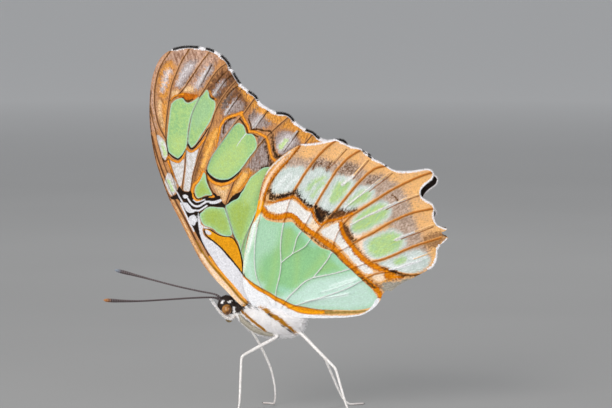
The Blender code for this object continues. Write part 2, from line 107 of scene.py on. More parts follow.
# Studio: the floor's size in metres, the lens in millimetres, and the lamps as name, place,
# size, power and colour
FLOOR_SIZE = 24
LENS = 150
LAMPS = (
    ("key", (-0.28, -0.42, 0.4), 0.35, 1.8, (1.0, 0.97, 0.93)),
    ("low", (-0.2, -0.42, 0.03), 0.25, 1.6, (1.0, 0.98, 0.96)),
    ("fill", (0.45, -0.35, 0.15), 0.4, 0.5, (0.93, 0.96, 1.0)),
    ("back", (0.05, 0.15, 0.4), 0.2, 0.8, (1.0, 1.0, 1.0)),
)

FOREWING_OUTLINE = (
    [(249, 312), (238, 302), (227, 291), (216, 280), (207, 269.5), (200, 259.5), (190, 240),
     (180, 220), (170, 200), (162.5, 180), (156, 160), (152.2, 140), (150.3, 120), (150.3, 104),
     (151.5, 88), (154, 75), (159, 62.5), (165, 55), (172, 50)],
    [(172, 50), (181, 47.6), (191, 46.8), (202, 47.8), (212, 50.2), (221, 55), (228, 61.5),
     (232, 69), (238, 79), (243, 86), (250, 91.5), (256, 96), (261, 103), (268, 108),
     (276, 112), (284, 113), (290, 115.5), (295, 121), (300, 125.5), (307, 129.5), (313, 132),
     (319, 137), (327, 140), (336, 139.2), (343, 139.8), (348, 144)],
    [(348, 144), (344, 157), (334, 180), (321, 205), (306, 233), (291, 262), (278, 288),
     (270, 306)],
    [(270, 306), (260, 313), (249, 312)],
)
FOREWING_VEINS = [
    (1.0, 0.8, [(246, 307), (232, 291), (219, 276), (207, 260), (197, 242), (187, 222),
                (177, 203), (168, 184), (161, 166), (156, 150), (152.5, 136)]),
    (0.5, 0.5, [(177, 191), (170, 177), (164, 162), (159.5, 146), (156.5, 132), (153, 118),
                (151, 106)]),
    (0.9, 0.8, [(248, 307), (237, 295), (225, 280), (213, 262), (202, 242), (193, 224),
                (186, 211), (180, 199), (176, 187), (172.5, 175), (169.5, 162), (168, 151),
                (166.5, 139)]),
    (0.6, 0.5, [(166.5, 139), (161.5, 130), (158, 120), (155.8, 108), (155.3, 96),
                (156.5, 84), (159.5, 72), (164.5, 61.5), (172, 51)]),
    (0.6, 0.5, [(166.5, 139), (166.5, 127), (168, 113), (169.8, 100), (172.5, 86),
                (177.5, 73), (183, 61), (191, 48)]),
    (0.6, 0.5, [(169.8, 101), (177, 96.5), (184, 89.5), (190, 81), (196, 72), (202, 63),
                (211, 51.5)]),
    (0.6, 0.5, [(182, 192), (183.5, 178), (185.5, 162), (187.5, 145), (189, 128), (192, 115),
                (198, 101), (205, 90), (212, 79), (219, 70), (229, 62.5)]),
    (0.6, 0.5, [(190, 192), (194, 172), (199, 157), (205, 141), (211, 126), (215, 114),
                (220, 103), (226, 94), (232, 86.5), (239, 79.5)]),
    (0.6, 0.5, [(225, 206), (219, 199), (213.5, 193), (209, 184), (207, 175), (208, 165),
                (213, 155), (221, 143.5), (230, 131), (238, 120.5), (245, 112.5), (251, 104),
                (256.5, 96.5)]),
    (0.6, 0.5, [(225, 206), (229, 195), (233.5, 183), (240, 171), (248, 159.5),
                (256.5, 148.5), (266, 137.5), (277, 127), (290.5, 115.5)]),
    (0.9, 0.8, [(256, 308), (248, 291), (243.5, 273), (240, 254), (235, 239), (230, 223),
                (225, 206)]),
    (0.6, 0.5, [(240, 253), (244.5, 238), (251, 224), (260, 207), (272, 188), (285, 170),
                (299, 151), (314, 132.5)]),
    (1.0, 0.7, [(261, 308), (265, 292), (273, 270), (285, 244), (299, 217), (314, 190),
                (329, 165), (343, 140)]),
]
FOREWING_FOLDS = [
    [(199, 87), (204, 77), (210, 67), (215, 58)],
    [(213, 97), (217, 90), (224, 81), (231, 75)],
    [(224, 116), (231, 106), (237, 98), (243, 91)],
    [(251, 129), (257, 121), (263, 114), (268, 109)],
    [(280, 152), (288, 141), (296, 131), (300, 127)],
    [(161, 66), (166, 62), (171, 56)],
]

HINDWING_OUTLINE = (
    [(262, 313), (253, 305), (247, 295), (243.5, 285), (243, 272), (243.8, 258), (246.5, 244),
     (250.5, 229), (255.5, 215), (258.5, 200), (261, 187), (265.5, 174), (272, 164.5),
     (281, 156.5), (290, 150), (300, 144)],
    [(300, 144), (309, 143.3), (320, 142), (329, 140.6), (336, 139.3), (342, 142), (348, 145),
     (355, 147), (361, 148.6), (366, 153), (371, 157), (378, 160.5), (385, 164.5),
     (391, 168.5), (397, 170.3), (406, 170.5), (416, 169.6), (425, 168.3), (430.5, 169.3),
     (433.6, 173)],
    [(433.6, 173), (431.5, 179), (426, 183.5), (422, 187.5), (420, 192), (421.5, 196),
     (426, 199.7), (431.5, 202.7), (434.3, 208)],
    [(434.3, 208), (433.6, 214), (434.5, 220.5), (437, 224)],
    [(437, 224), (441.5, 226.4), (446.5, 228), (445.5, 230), (441, 231.6)],
    [(441, 231.6), (443.5, 235), (447.5, 237), (445, 240.5), (440.5, 244.5)],
    [(440.5, 244.5), (437.2, 250), (437.2, 256), (435.5, 261.5), (432.5, 266.5), (428, 269.5)],
    [(428, 269.5), (420, 273.5), (412, 277.5), (405, 280.5), (398, 284.5), (391, 290)],
    [(391, 290), (386, 289.5), (382.5, 293)],
    [(382.5, 293), (379.5, 300), (374, 306.5), (368, 310.7), (361, 314), (350, 316),
     (335, 316.8), (318, 317), (303, 316.8), (292, 315.5)],
    [(292, 315.5), (278, 316), (262, 313)],
)
HINDWING_VEINS = [
    (0.6, 0.9, [(270, 303), (262, 289), (256.5, 276), (254.5, 262), (254.7, 248), (256, 234),
                (258.5, 220), (262, 206), (266, 192), (271.5, 181), (279, 170), (288, 160),
                (300, 145)]),
    (0.6, 1.0, [(275, 303), (276, 290), (279.5, 275), (281, 262), (280.5, 248), (281.5, 234),
                (284, 221), (288, 205), (293, 193), (299, 182), (307, 170), (316, 158),
                (325.5, 148), (336, 139.5)]),
    (0.6, 1.0, [(281, 262), (287, 257), (292, 253), (294.5, 246), (297, 237), (303, 227.5),
                (309, 216.5), (315, 205), (322, 193), (330, 180), (338, 168), (348, 157.5),
                (361, 149)]),
    (0.6, 1.1, [(292, 253), (299, 249.5), (305, 245.5), (310.5, 238.5), (318, 229.5),
                (328, 218.5), (337, 208), (345.5, 197.5), (355, 186), (365, 175.5),
                (375, 168), (386, 165)]),
    (0.7, 1.1, [(313, 276.5), (321, 267), (328.5, 257), (332, 249), (335.5, 237),
                (341, 226.5), (350, 216), (362, 208), (375, 199.8), (388, 191.2),
                (403, 183.3), (418, 176.5), (433, 171)]),
    (0.8, 1.0, [(331.5, 252), (341, 249.5), (350, 244.5), (361, 238), (373, 232), (386, 224),
                (399, 217.5), (413, 212), (434, 207.5)]),
    (0.7, 1.0, [(313, 276.5), (327, 273.8), (341, 270.5), (355, 266), (370, 261.2),
                (384, 258), (397, 252.8), (410, 247), (423, 242.5), (441, 237)]),
    (0.9, 0.7, [(281, 306), (288, 296.5), (297, 287.5), (305, 280.5), (313, 276.5)]),
    (0.7, 0.6, [(286, 307), (305, 301), (328, 294), (348, 286.5), (362, 279), (376, 272.5),
                (392, 270.5), (407, 273.5), (419, 273.5)]),
]
HINDWING_FOLDS = [
    [(326, 170), (332, 162), (338, 155), (345, 147)],
    [(344, 184), (352, 178), (360, 168), (367, 159)],
    [(345, 207), (355, 199), (366, 190), (378, 180), (391, 171)],
    [(350, 225), (360, 219), (372, 213), (384, 207), (396, 202), (408, 197), (420, 193)],
    [(392, 241), (402, 236), (415, 231), (425, 227), (434, 223.5)],
    [(383, 269), (390, 268.5), (397, 267), (405, 264), (412, 262), (421, 260)],
    [(412, 259), (422, 255), (433, 251)],
    [(306, 300), (322, 297), (335, 295), (350, 292)],
    [(318, 292), (335, 287), (348, 282), (362, 278)],
]

# Markings of the wings' undersides: finish, half width in pixels (0 for an area, two for a
# taper), and points as x, y, x, y
FOREWING_MARKS = [
    ("green", 0, [173, 103, 176, 100, 181, 98.5, 184, 99, 186, 102, 189, 103, 193, 101.5, 197, 99,
     200, 98, 192.5, 114, 189.3, 128, 188, 138, 187, 146, 185, 150, 183, 154, 180, 157, 178, 158,
     173, 155, 169.5, 152, 168, 147, 167.5, 140, 168.5, 130, 169.5, 120, 170.5, 112, 172, 104]),
    ("green", 0, [200, 99, 204, 94, 207, 90, 209, 92, 210, 97, 212, 99.5, 215, 101, 216, 105,
     215, 110, 212, 118, 209, 124, 203, 133, 200, 138, 196, 144, 192, 147.5, 190, 145, 188.5, 141,
     190, 128, 193, 114]),
    ("green", 0, [234, 126, 238, 123, 241, 123.5, 244, 126, 245.5, 130, 247, 133.5, 252, 134,
     255, 137, 256.5, 141, 257, 145, 256, 149, 253, 153, 249, 158, 245, 164, 240, 170, 236, 174,
     232, 177, 228, 179, 222, 179.5, 217, 178.5, 212, 175.5, 208.5, 172, 207.5, 168, 209, 163,
     212, 156, 216, 150, 221, 143, 225, 138, 230, 131]),
    ("green", 0, [204, 172, 206, 175, 206.5, 180, 209, 187, 212, 193, 211, 195, 206, 195,
     200, 197.5, 197.5, 197.5, 195.5, 194, 195, 190, 196, 186, 199, 182, 202, 177]),
    ("green", 0, [200, 214, 203, 211, 206, 208, 210, 206.5, 218, 207, 224, 207.5, 226, 212,
     229, 220, 231, 228, 232, 234, 228, 236, 222, 235, 217, 232, 213, 228.5, 208, 226.5, 204, 225,
     201, 220]),
    ("green", 0, [225.5, 207, 228, 204, 232, 201, 238, 198, 241, 193, 244, 189, 250, 178, 256, 173,
     261, 169, 266, 167, 273, 168, 272, 178, 264, 194, 256, 212, 250, 228, 246, 244, 244, 262,
     240.5, 250, 238, 242, 234, 235, 230, 223]),
    # Yellower insides of the green cells, and their cooler upper ends
    ("olive", 0, [202, 181, 205, 186, 209, 192, 204, 194, 198, 195, 198, 188]),
    ("olive", 0, [206, 211, 218, 210, 225, 217, 228, 228, 222, 231, 214, 226, 205, 221]),
    ("olive", 0, [231, 207, 241, 200, 249, 196, 250, 208, 246, 224, 241, 238, 236, 230, 231, 218]),
    ("lime", 0, [212, 168, 222, 154, 236, 142, 244, 142, 247, 152, 238, 166, 226, 176, 215, 174]),
    ("lime", 0, [248, 184, 258, 176, 266, 172, 258, 190, 250, 203, 243, 203]),
    ("lime", 0, [172, 138, 184, 136, 183, 148, 178, 153, 173, 149]),
    ("mint", 0, [196, 106, 204, 97, 212, 103, 210, 116, 203, 124, 195, 130, 193, 118]),
    ("fine_white", (0.2, 0.5), [237, 146, 241, 140, 246, 134]),
    # Rims of the green cells: black inside, orange outside
    ("black", (0.4, 1.1), [167.6, 149, 170, 153.5, 174, 157.2, 178.5, 158.8]),
    ("black", (1.1, 0.3), [178.5, 158.8, 181.5, 156.4, 184.5, 151.5, 187, 145]),
    ("black", (1.1, 0.4), [188, 143, 190, 147, 192.5, 148.6, 196, 146, 200, 141, 205, 134,
     209.5, 127]),
    ("black", (0.8, 1.7), [206.8, 170, 210, 175.3, 215.5, 179.6, 222, 181]),
    ("black", (1.7, 0.5), [222, 181, 228, 180, 234, 176.6, 241, 170]),
    ("orange", 1.1, [168.5, 156.5, 173.5, 160.3, 178.5, 161.8, 182, 159.3, 185, 153]),
    ("orange", 1.1, [186.5, 147, 189, 150.6, 192, 151.6, 196, 149.3, 201, 144, 206, 137]),
    ("orange", (1.1, 2.0), [205.5, 173, 209, 178, 214.5, 182.6, 221, 184.2]),
    ("orange", (2.0, 0.8), [221, 184.2, 228, 182.8, 235, 179, 242, 172.5]),
    ("orange", (0.5, 1.3), [171.5, 101, 174, 97.3, 178, 95.4, 184, 94.2]),
    ("rust", 0, [178, 97.5, 181, 94.2, 186, 93, 192, 94.2, 198, 94.6, 197.5, 97.3, 193, 100.3,
     189, 101.6, 186, 100.3, 183.5, 97.8]),
    ("sepia", 0.9, [183.5, 98, 186.5, 100.8, 189.5, 101.3, 193, 99.6]),
    ("sepia", 1.0, [209.3, 94, 211, 97.8, 214.5, 99.2]),
    ("orange", 0.7, [210, 91, 212.5, 96.5, 217, 100]),
    # White field between the costa and the cell's end
    ("white", 0, [157.5, 135, 160, 136, 165, 141, 167, 147, 168, 152, 167.5, 157, 165.5, 160,
     163, 157, 160.5, 148, 158.5, 142]),
    ("white", 0, [170, 158, 172, 160, 176, 162.5, 179, 162, 183, 158.5, 184.5, 161, 184, 170,
     182.5, 180, 181, 186, 179, 185, 176, 177, 173, 168]),
    ("white", 0, [187, 150, 190, 152, 192, 152, 197, 149, 199, 149, 197, 156, 195, 165, 192, 176,
     190, 190, 187, 190.5, 184, 189.5, 185, 178, 186.5, 165]),
    ("white", 0, [166, 178, 167.5, 173, 170, 173, 173, 177, 175, 180, 177, 187, 177, 190, 174, 194,
     172, 195.5, 169, 192, 166.5, 186, 165, 182]),
    ("sage", 1.4, [162.5, 143, 164.5, 150, 166, 155]),
    ("sage", 1.2, [169, 180, 171.5, 186, 172.5, 190]),
    ("black", 0.6, [166.5, 141, 168.3, 147, 169, 153]),
    ("sepia", 0.7, [163.2, 158.5, 165.5, 161.3, 168.3, 158.5]),
    ("orange", (1.3, 0.4), [167.5, 158, 169.3, 163, 171.5, 169, 175, 178]),
    ("brown", 0.7, [171.5, 163, 175, 173, 179, 186]),
    ("black", 0, [167, 191.5, 171, 196.3, 174, 195.2, 177, 193, 178.5, 187, 180, 186, 182, 189,
     184, 190.8, 188, 191.6, 191, 190.5, 192.5, 197, 190, 199.5, 183, 201, 181, 203, 178, 199,
     172, 199, 168.5, 195]),
    ("fine_white", 0, [183, 195, 186, 194.3, 188.5, 196, 187, 198, 184, 197.8]),
    ("fine_white", (0.5, 0.8), [177, 191.5, 180, 197, 183, 203]),
    # Wavy lines across the cell's end
    ("black", 1.9, [190, 195, 192, 200, 195, 202.8, 198.5, 203.2, 203, 201, 207.5, 198.8,
     213, 199.5, 219, 197.3]),
    ("black", 1.9, [187, 201.5, 191, 205.8, 194.5, 208, 198.5, 208.2, 203, 205.8, 208, 203.3,
     215, 204, 224, 205.6]),
    ("fine_white", 0.9, [188.5, 199, 191, 202.8, 194, 205.2, 197, 206, 200.5, 205.3, 204, 202.8,
     208, 201.2, 213, 201.8, 219.5, 200.2]),
    ("fine_white", 1.4, [211, 202.2, 216, 202, 220.5, 200]),
    ("orange", 1.6, [203.5, 172, 199, 180, 194.5, 184, 192.3, 189.5, 193, 195, 195.5, 199.3,
     198.5, 200.6, 203.5, 199, 208, 197.2, 215, 195.8]),
    ("sepia", 0.8, [206.5, 173, 207.5, 180, 210.5, 187.5, 214, 194]),
    ("black", 0.6, [194.2, 193, 195.5, 196.8, 198.5, 198.8, 204, 197, 212, 195.2]),
    ("fine_white", 0.5, [193.5, 199.5, 196.5, 201.6, 200.5, 201, 205, 199]),
    ("orange", 1.1, [208.5, 204.2, 214, 204.4, 217, 205.6]),
    ("fine_white", 0.8, [194.5, 210, 199, 210.2, 203, 208, 207, 205.4]),
    ("black", 0.7, [199.5, 213.5, 202, 210.3, 206, 207, 210, 205.6, 217, 206, 225, 206.6]),
    # White spots, the black round them and the long white band
    ("fine_white", 0, [183, 203, 187, 202.5, 189.5, 205, 192, 208.5, 195, 210, 194, 212,
     190, 212.5, 187, 211, 185, 208]),
    ("fine_white", 0, [189, 217, 191, 215.5, 194, 214.5, 196.5, 217, 197.5, 220, 196, 222,
     194.5, 225, 191, 224, 189, 221]),
    ("black", 0, [183, 202, 186.5, 201, 191, 204, 195, 208.5, 199, 211, 200.5, 215, 200, 220,
     201.5, 227, 203.5, 234, 207, 242, 211, 250, 206, 248, 200, 240, 195, 231, 190, 222,
     186, 213]),
    ("dusk", 0, [203, 240, 208, 243, 214, 252, 222, 264, 219, 263, 212, 256, 206, 248]),
    ("fine_white", (1.0, 0.7), [181, 203, 184.5, 211, 189, 221, 194, 231]),
    ("fine_white", 0, [198.6, 212.5, 200.3, 219, 201.2, 224, 205, 226.3, 210, 228, 206, 228.4,
     202.5, 228, 204, 235, 208, 238.5, 215, 242.8, 221, 248.5, 229, 257.5, 237, 266.5, 242, 273.5,
     246, 283, 251, 297, 255, 308, 248, 303, 241, 295, 235, 287, 227, 277.5, 219, 267.5, 212, 257,
     206, 248, 202, 240, 199.6, 232, 198.4, 224, 197.8, 217]),
    ("gold", 0, [205, 229, 209, 229.5, 214, 232.5, 219, 235.3, 225, 236.6, 231, 237.2, 235, 241,
     238.5, 248, 240.5, 256, 241.8, 265, 241.5, 272, 236.5, 265.5, 229, 256.5, 222, 248,
     215, 241.8, 209, 237.2, 205, 233]),
    ("black", 1.0, [204.5, 230.5, 207, 235.5, 214.5, 241.8, 221.5, 248, 229, 256.5, 237, 266,
     242.3, 273]),
    ("black", 0.8, [205, 228.5, 211, 230, 216, 233.6, 222, 236, 230, 236.8, 234.5, 239.8,
     238.5, 247, 241, 255, 242.6, 264, 242.8, 273]),
    ("fine_white", 0, [205.2, 229.8, 208, 230, 211.5, 233, 209, 234.6, 205.4, 232.4]),
    # Costal stripes
    ("peach", (0.7, 1.3), [173, 200, 180, 214, 187, 229, 195, 246, 203, 258]),
    ("ivory", 0, [200, 256, 204.4, 263, 209.8, 271, 215.5, 279.5, 222.3, 287.5, 229.8, 296,
     237.3, 304, 246, 311.5, 252, 311, 246, 303.8, 238, 296.2, 231, 287.8, 224, 280, 216.9, 272,
     209.8, 263, 203.5, 253]),
    ("bright", 1.1, [209.5, 256.5, 214.5, 264.6, 221.4, 272.6, 228.6, 280.4, 235.6, 288.2,
     242, 296, 248.5, 303]),
    ("bright", 1.6, [244.5, 305.3, 245.5, 306.8]),
    ("ochre", (0.4, 1.0), [196, 240, 203, 252.5, 210.9, 264]),
    ("ochre", (1.0, 0.7), [210.9, 264, 218, 272, 225.1, 280, 232.3, 287.9, 239.4, 296.4,
     246.6, 303.4]),
    ("ink", (0.5, 0.9), [204.5, 230.5, 207, 235.5, 214.5, 241.8, 221.5, 248, 229, 256.5]),
    ("ink", (0.9, 0.6), [229, 256.5, 237, 266, 242.3, 273]),
    ("ink", (0.3, 0.45), [222, 236, 230, 236.8, 234.5, 239.8, 238.5, 247, 241, 255, 242.6, 264]),
    ("sepia", 0.45, [152, 90, 150.9, 104, 150.9, 120, 152.8, 140, 156.6, 160, 163, 180,
     170.6, 200]),
    # Orange arcs beyond the third green cell, with their dark sides
    ("orange", (0.5, 1.7), [216, 150, 217.5, 142, 219.3, 133, 221.5, 125, 225, 119.5]),
    ("orange", 1.6, [225, 119.5, 230, 116.8, 236, 115, 242.5, 112.6]),
    ("orange", 1.5, [242, 115, 245, 120.5, 248, 126, 249.5, 132]),
    ("orange", 1.5, [250, 131.2, 255, 131.8, 260.5, 134, 266, 137]),
    ("orange", 1.5, [266.5, 137, 268.5, 143, 270, 150, 272, 157, 276.5, 161.5]),
    ("sepia", 0.8, [223.5, 133, 224.5, 125.5, 229, 120, 236, 117.5]),
    ("sepia", 0.9, [240, 119, 243.5, 123.5, 246.5, 128, 248, 133.4]),
    ("sepia", 0.8, [248.5, 119, 251, 125, 251.5, 129]),
    ("sepia", 0.9, [252, 129.4, 258.5, 129.3, 265, 130.8, 271, 131]),
    ("sepia", 0.8, [249, 134, 254, 134.6, 258, 136.8]),
    ("smoke", (0.8, 2.2), [272.5, 133, 273, 141, 273.5, 149, 276, 155.5, 280, 156.5]),
    ("smoke", 1.1, [265.7, 140, 267.2, 150, 268.8, 158, 269.5, 165]),
    ("smoke", 1.6, [262, 168, 268, 166.5, 273, 163]),
    ("haze", 0, [222, 121, 230, 119, 237, 119, 233, 127, 228, 133, 222, 142, 217, 147, 219, 134]),
    ("haze", 0, [258, 138, 264, 138, 268, 152, 271, 166, 266, 167, 258, 171, 250, 170, 246, 167,
     252, 158, 257, 149]),
    ("amber", 0, [247, 168, 252, 172, 248, 180, 243, 187, 238, 192, 232, 197, 229, 197, 233, 184,
     238, 176, 242, 172]),
    ("cream", 1.7, [246, 172, 242, 178, 237, 186]),
    ("orange", 1.0, [251, 172, 246, 182, 239, 190]),
    ("black", 0, [228, 202, 232, 196.5, 236, 193.5, 241, 191, 245, 186, 242, 194, 237, 199,
     231, 202.5, 226, 206]),
    ("black", 1.1, [214.5, 193.5, 218.5, 198.5, 223.5, 204.5]),
    ("cream", 0, [214, 185, 221, 187, 229, 185, 227.5, 192, 225.5, 199, 223.5, 201, 219, 195,
     215, 189]),
    ("brown", 0, [197, 152, 201, 148, 205, 143, 205, 150, 202, 160, 199, 172, 195, 183, 193, 178,
     195, 165]),
    ("amber", 0, [205, 142, 213, 129, 219, 128, 219, 138, 213, 150, 208, 160, 204, 172, 199, 180,
     195, 184, 199, 172, 203, 158]),
    ("glow", (1.0, 1.6), [217, 131, 211.5, 143, 207, 154, 203, 166]),
    ("glow", (2.4, 1.6), [245, 175, 240.5, 182, 235.5, 190]),
    ("glow", 1.0, [216, 186, 222, 188.5, 228, 187]),
    # Apex and outer margin: tan ends, brown middle, pale patches along the folds
    ("tan", 0, [172, 52, 182, 49, 196, 49, 211, 53, 220, 60, 212, 66, 202, 74, 192, 84, 182, 88,
     180, 76, 177, 66, 170, 62, 162, 66, 158, 78, 156, 94, 158, 110, 158, 128, 153, 130, 151, 110,
     152, 88, 158, 66, 165, 56]),
    ("amber", 0, [160, 76, 165, 66, 172, 62, 174, 70, 171, 84, 168, 96, 164, 99, 160, 94,
     159, 84]),
    ("amber", 0, [163, 103, 167.5, 102, 168.5, 113, 166.5, 128, 166.5, 138, 164, 133, 162.5, 118]),
    ("cream", 1.8, [160.5, 102, 160.8, 114, 163, 126]),
    ("pale", (1.8, 2.8), [163, 90, 166, 81, 169.5, 72]),
    ("haze", 0, [179, 88, 180, 76, 186, 64, 194, 60, 199, 62, 193, 74, 186, 86]),
    ("pale", (2.4, 3.4), [179, 84, 184, 75, 190.5, 67]),
    ("haze", 0, [197, 90, 199, 80, 206, 69, 214, 64, 214, 72, 208, 80, 202, 90]),
    ("pale", (2.0, 3.0), [196.5, 87, 202, 79, 208.5, 70]),
    ("brown", 0, [214, 76, 222, 70, 230, 66, 233, 74, 240, 84, 232, 88, 226, 96, 219, 108, 215, 98,
     211, 94, 208, 88]),
    ("pale", (0.8, 1.7), [214.5, 94, 218.5, 89, 223.5, 83]),
    ("dusk", 1.0, [216, 97, 221, 90, 229, 79]),
    ("brown", 0, [222, 112, 223, 104, 229, 94, 236, 86, 242, 86, 249, 92, 256, 97, 250, 104,
     244, 112, 232, 115, 225, 116]),
    ("amber", 0, [238, 86, 243, 87, 250, 92.5, 256, 98, 250, 103, 244, 97]),
    ("dusk", (2.4, 1.4), [223.5, 108, 227, 100, 234, 90]),
    ("haze", 0, [228, 112, 231, 106, 238, 101, 244, 103, 243, 110, 236, 113]),
    ("pale", (1.6, 1.2), [226, 113, 231, 107, 237, 100]),
    ("amber", 0, [250, 106, 257, 98, 264, 105, 271, 110, 284, 114, 290, 117, 280, 124, 272, 122,
     262, 116]),
    ("haze", 0, [249, 117, 255, 110, 264, 110, 272, 116, 274, 122, 268, 127, 260, 129, 252, 128]),
    ("pale", (2.8, 1.4), [254.5, 125, 258, 120, 262, 116]),
    ("dusk", 0.8, [249.5, 119, 254, 111, 259, 105]),
    ("amber", 0, [281, 128, 290, 118, 297, 124, 308, 131, 318, 138, 326, 143, 306, 146, 300, 138,
     292, 130]),
    ("haze", 0, [275, 137, 281, 131, 290, 131, 298, 137, 300, 144, 292, 152, 282, 155, 276, 148]),
    ("pale", 0, [277, 146, 281, 138, 288, 134, 294, 137, 293, 144, 286, 150, 280, 153]),
    ("sage", 2.2, [281, 147, 286, 141]),
    ("cream", 0, [184, 88, 190, 86, 195, 88, 194, 92, 188, 92.5, 184, 92]),
    ("cream", 0, [172, 92, 177, 90, 180, 92, 178, 96, 173, 97]),
    # Sepia lines beside the folds' white lines are painted shade on their lower sides; the rest
    # are streaks
    ("sepia", (0.3, 0.6), [201.5, 86, 206, 77.5, 212, 66]),
    ("sepia", (0.3, 0.9), [218, 92, 225, 82.5, 232, 75.5]),
    ("sepia", (0.3, 0.8), [227.5, 114, 233.5, 105, 241, 95]),
    ("sepia", (0.5, 0.8), [217, 83, 222, 76.5, 228, 71]),
    ("sepia", (0.8, 0.4), [227, 97, 232.5, 90.5, 239, 86]),
    ("sepia", (0.3, 0.7), [259, 104, 264, 106.5]),
    ("sepia", (0.4, 0.7), [240, 91, 244, 88]),
    ("sepia", (0.3, 0.6), [256, 127.5, 262, 119, 268, 111]),
    ("sepia", (0.3, 0.6), [284, 151.5, 291.5, 141.5, 299, 131]),
    # White lines along the folds: painted highlight on their crests
    ("white", (0.6, 0.2), [200, 85, 204, 77.5, 208, 70]),
    ("white", (0.6, 0.3), [214, 95, 218, 89.5, 223, 83.5]),
    ("white", (0.7, 0.3), [225, 115, 230, 107.5, 236, 100.5]),
    ("white", (0.7, 0.3), [252.5, 128.3, 257, 122.5, 262, 117]),
    ("white", (0.4, 0.8), [281, 150.5, 288, 141.5, 297, 131]),
]

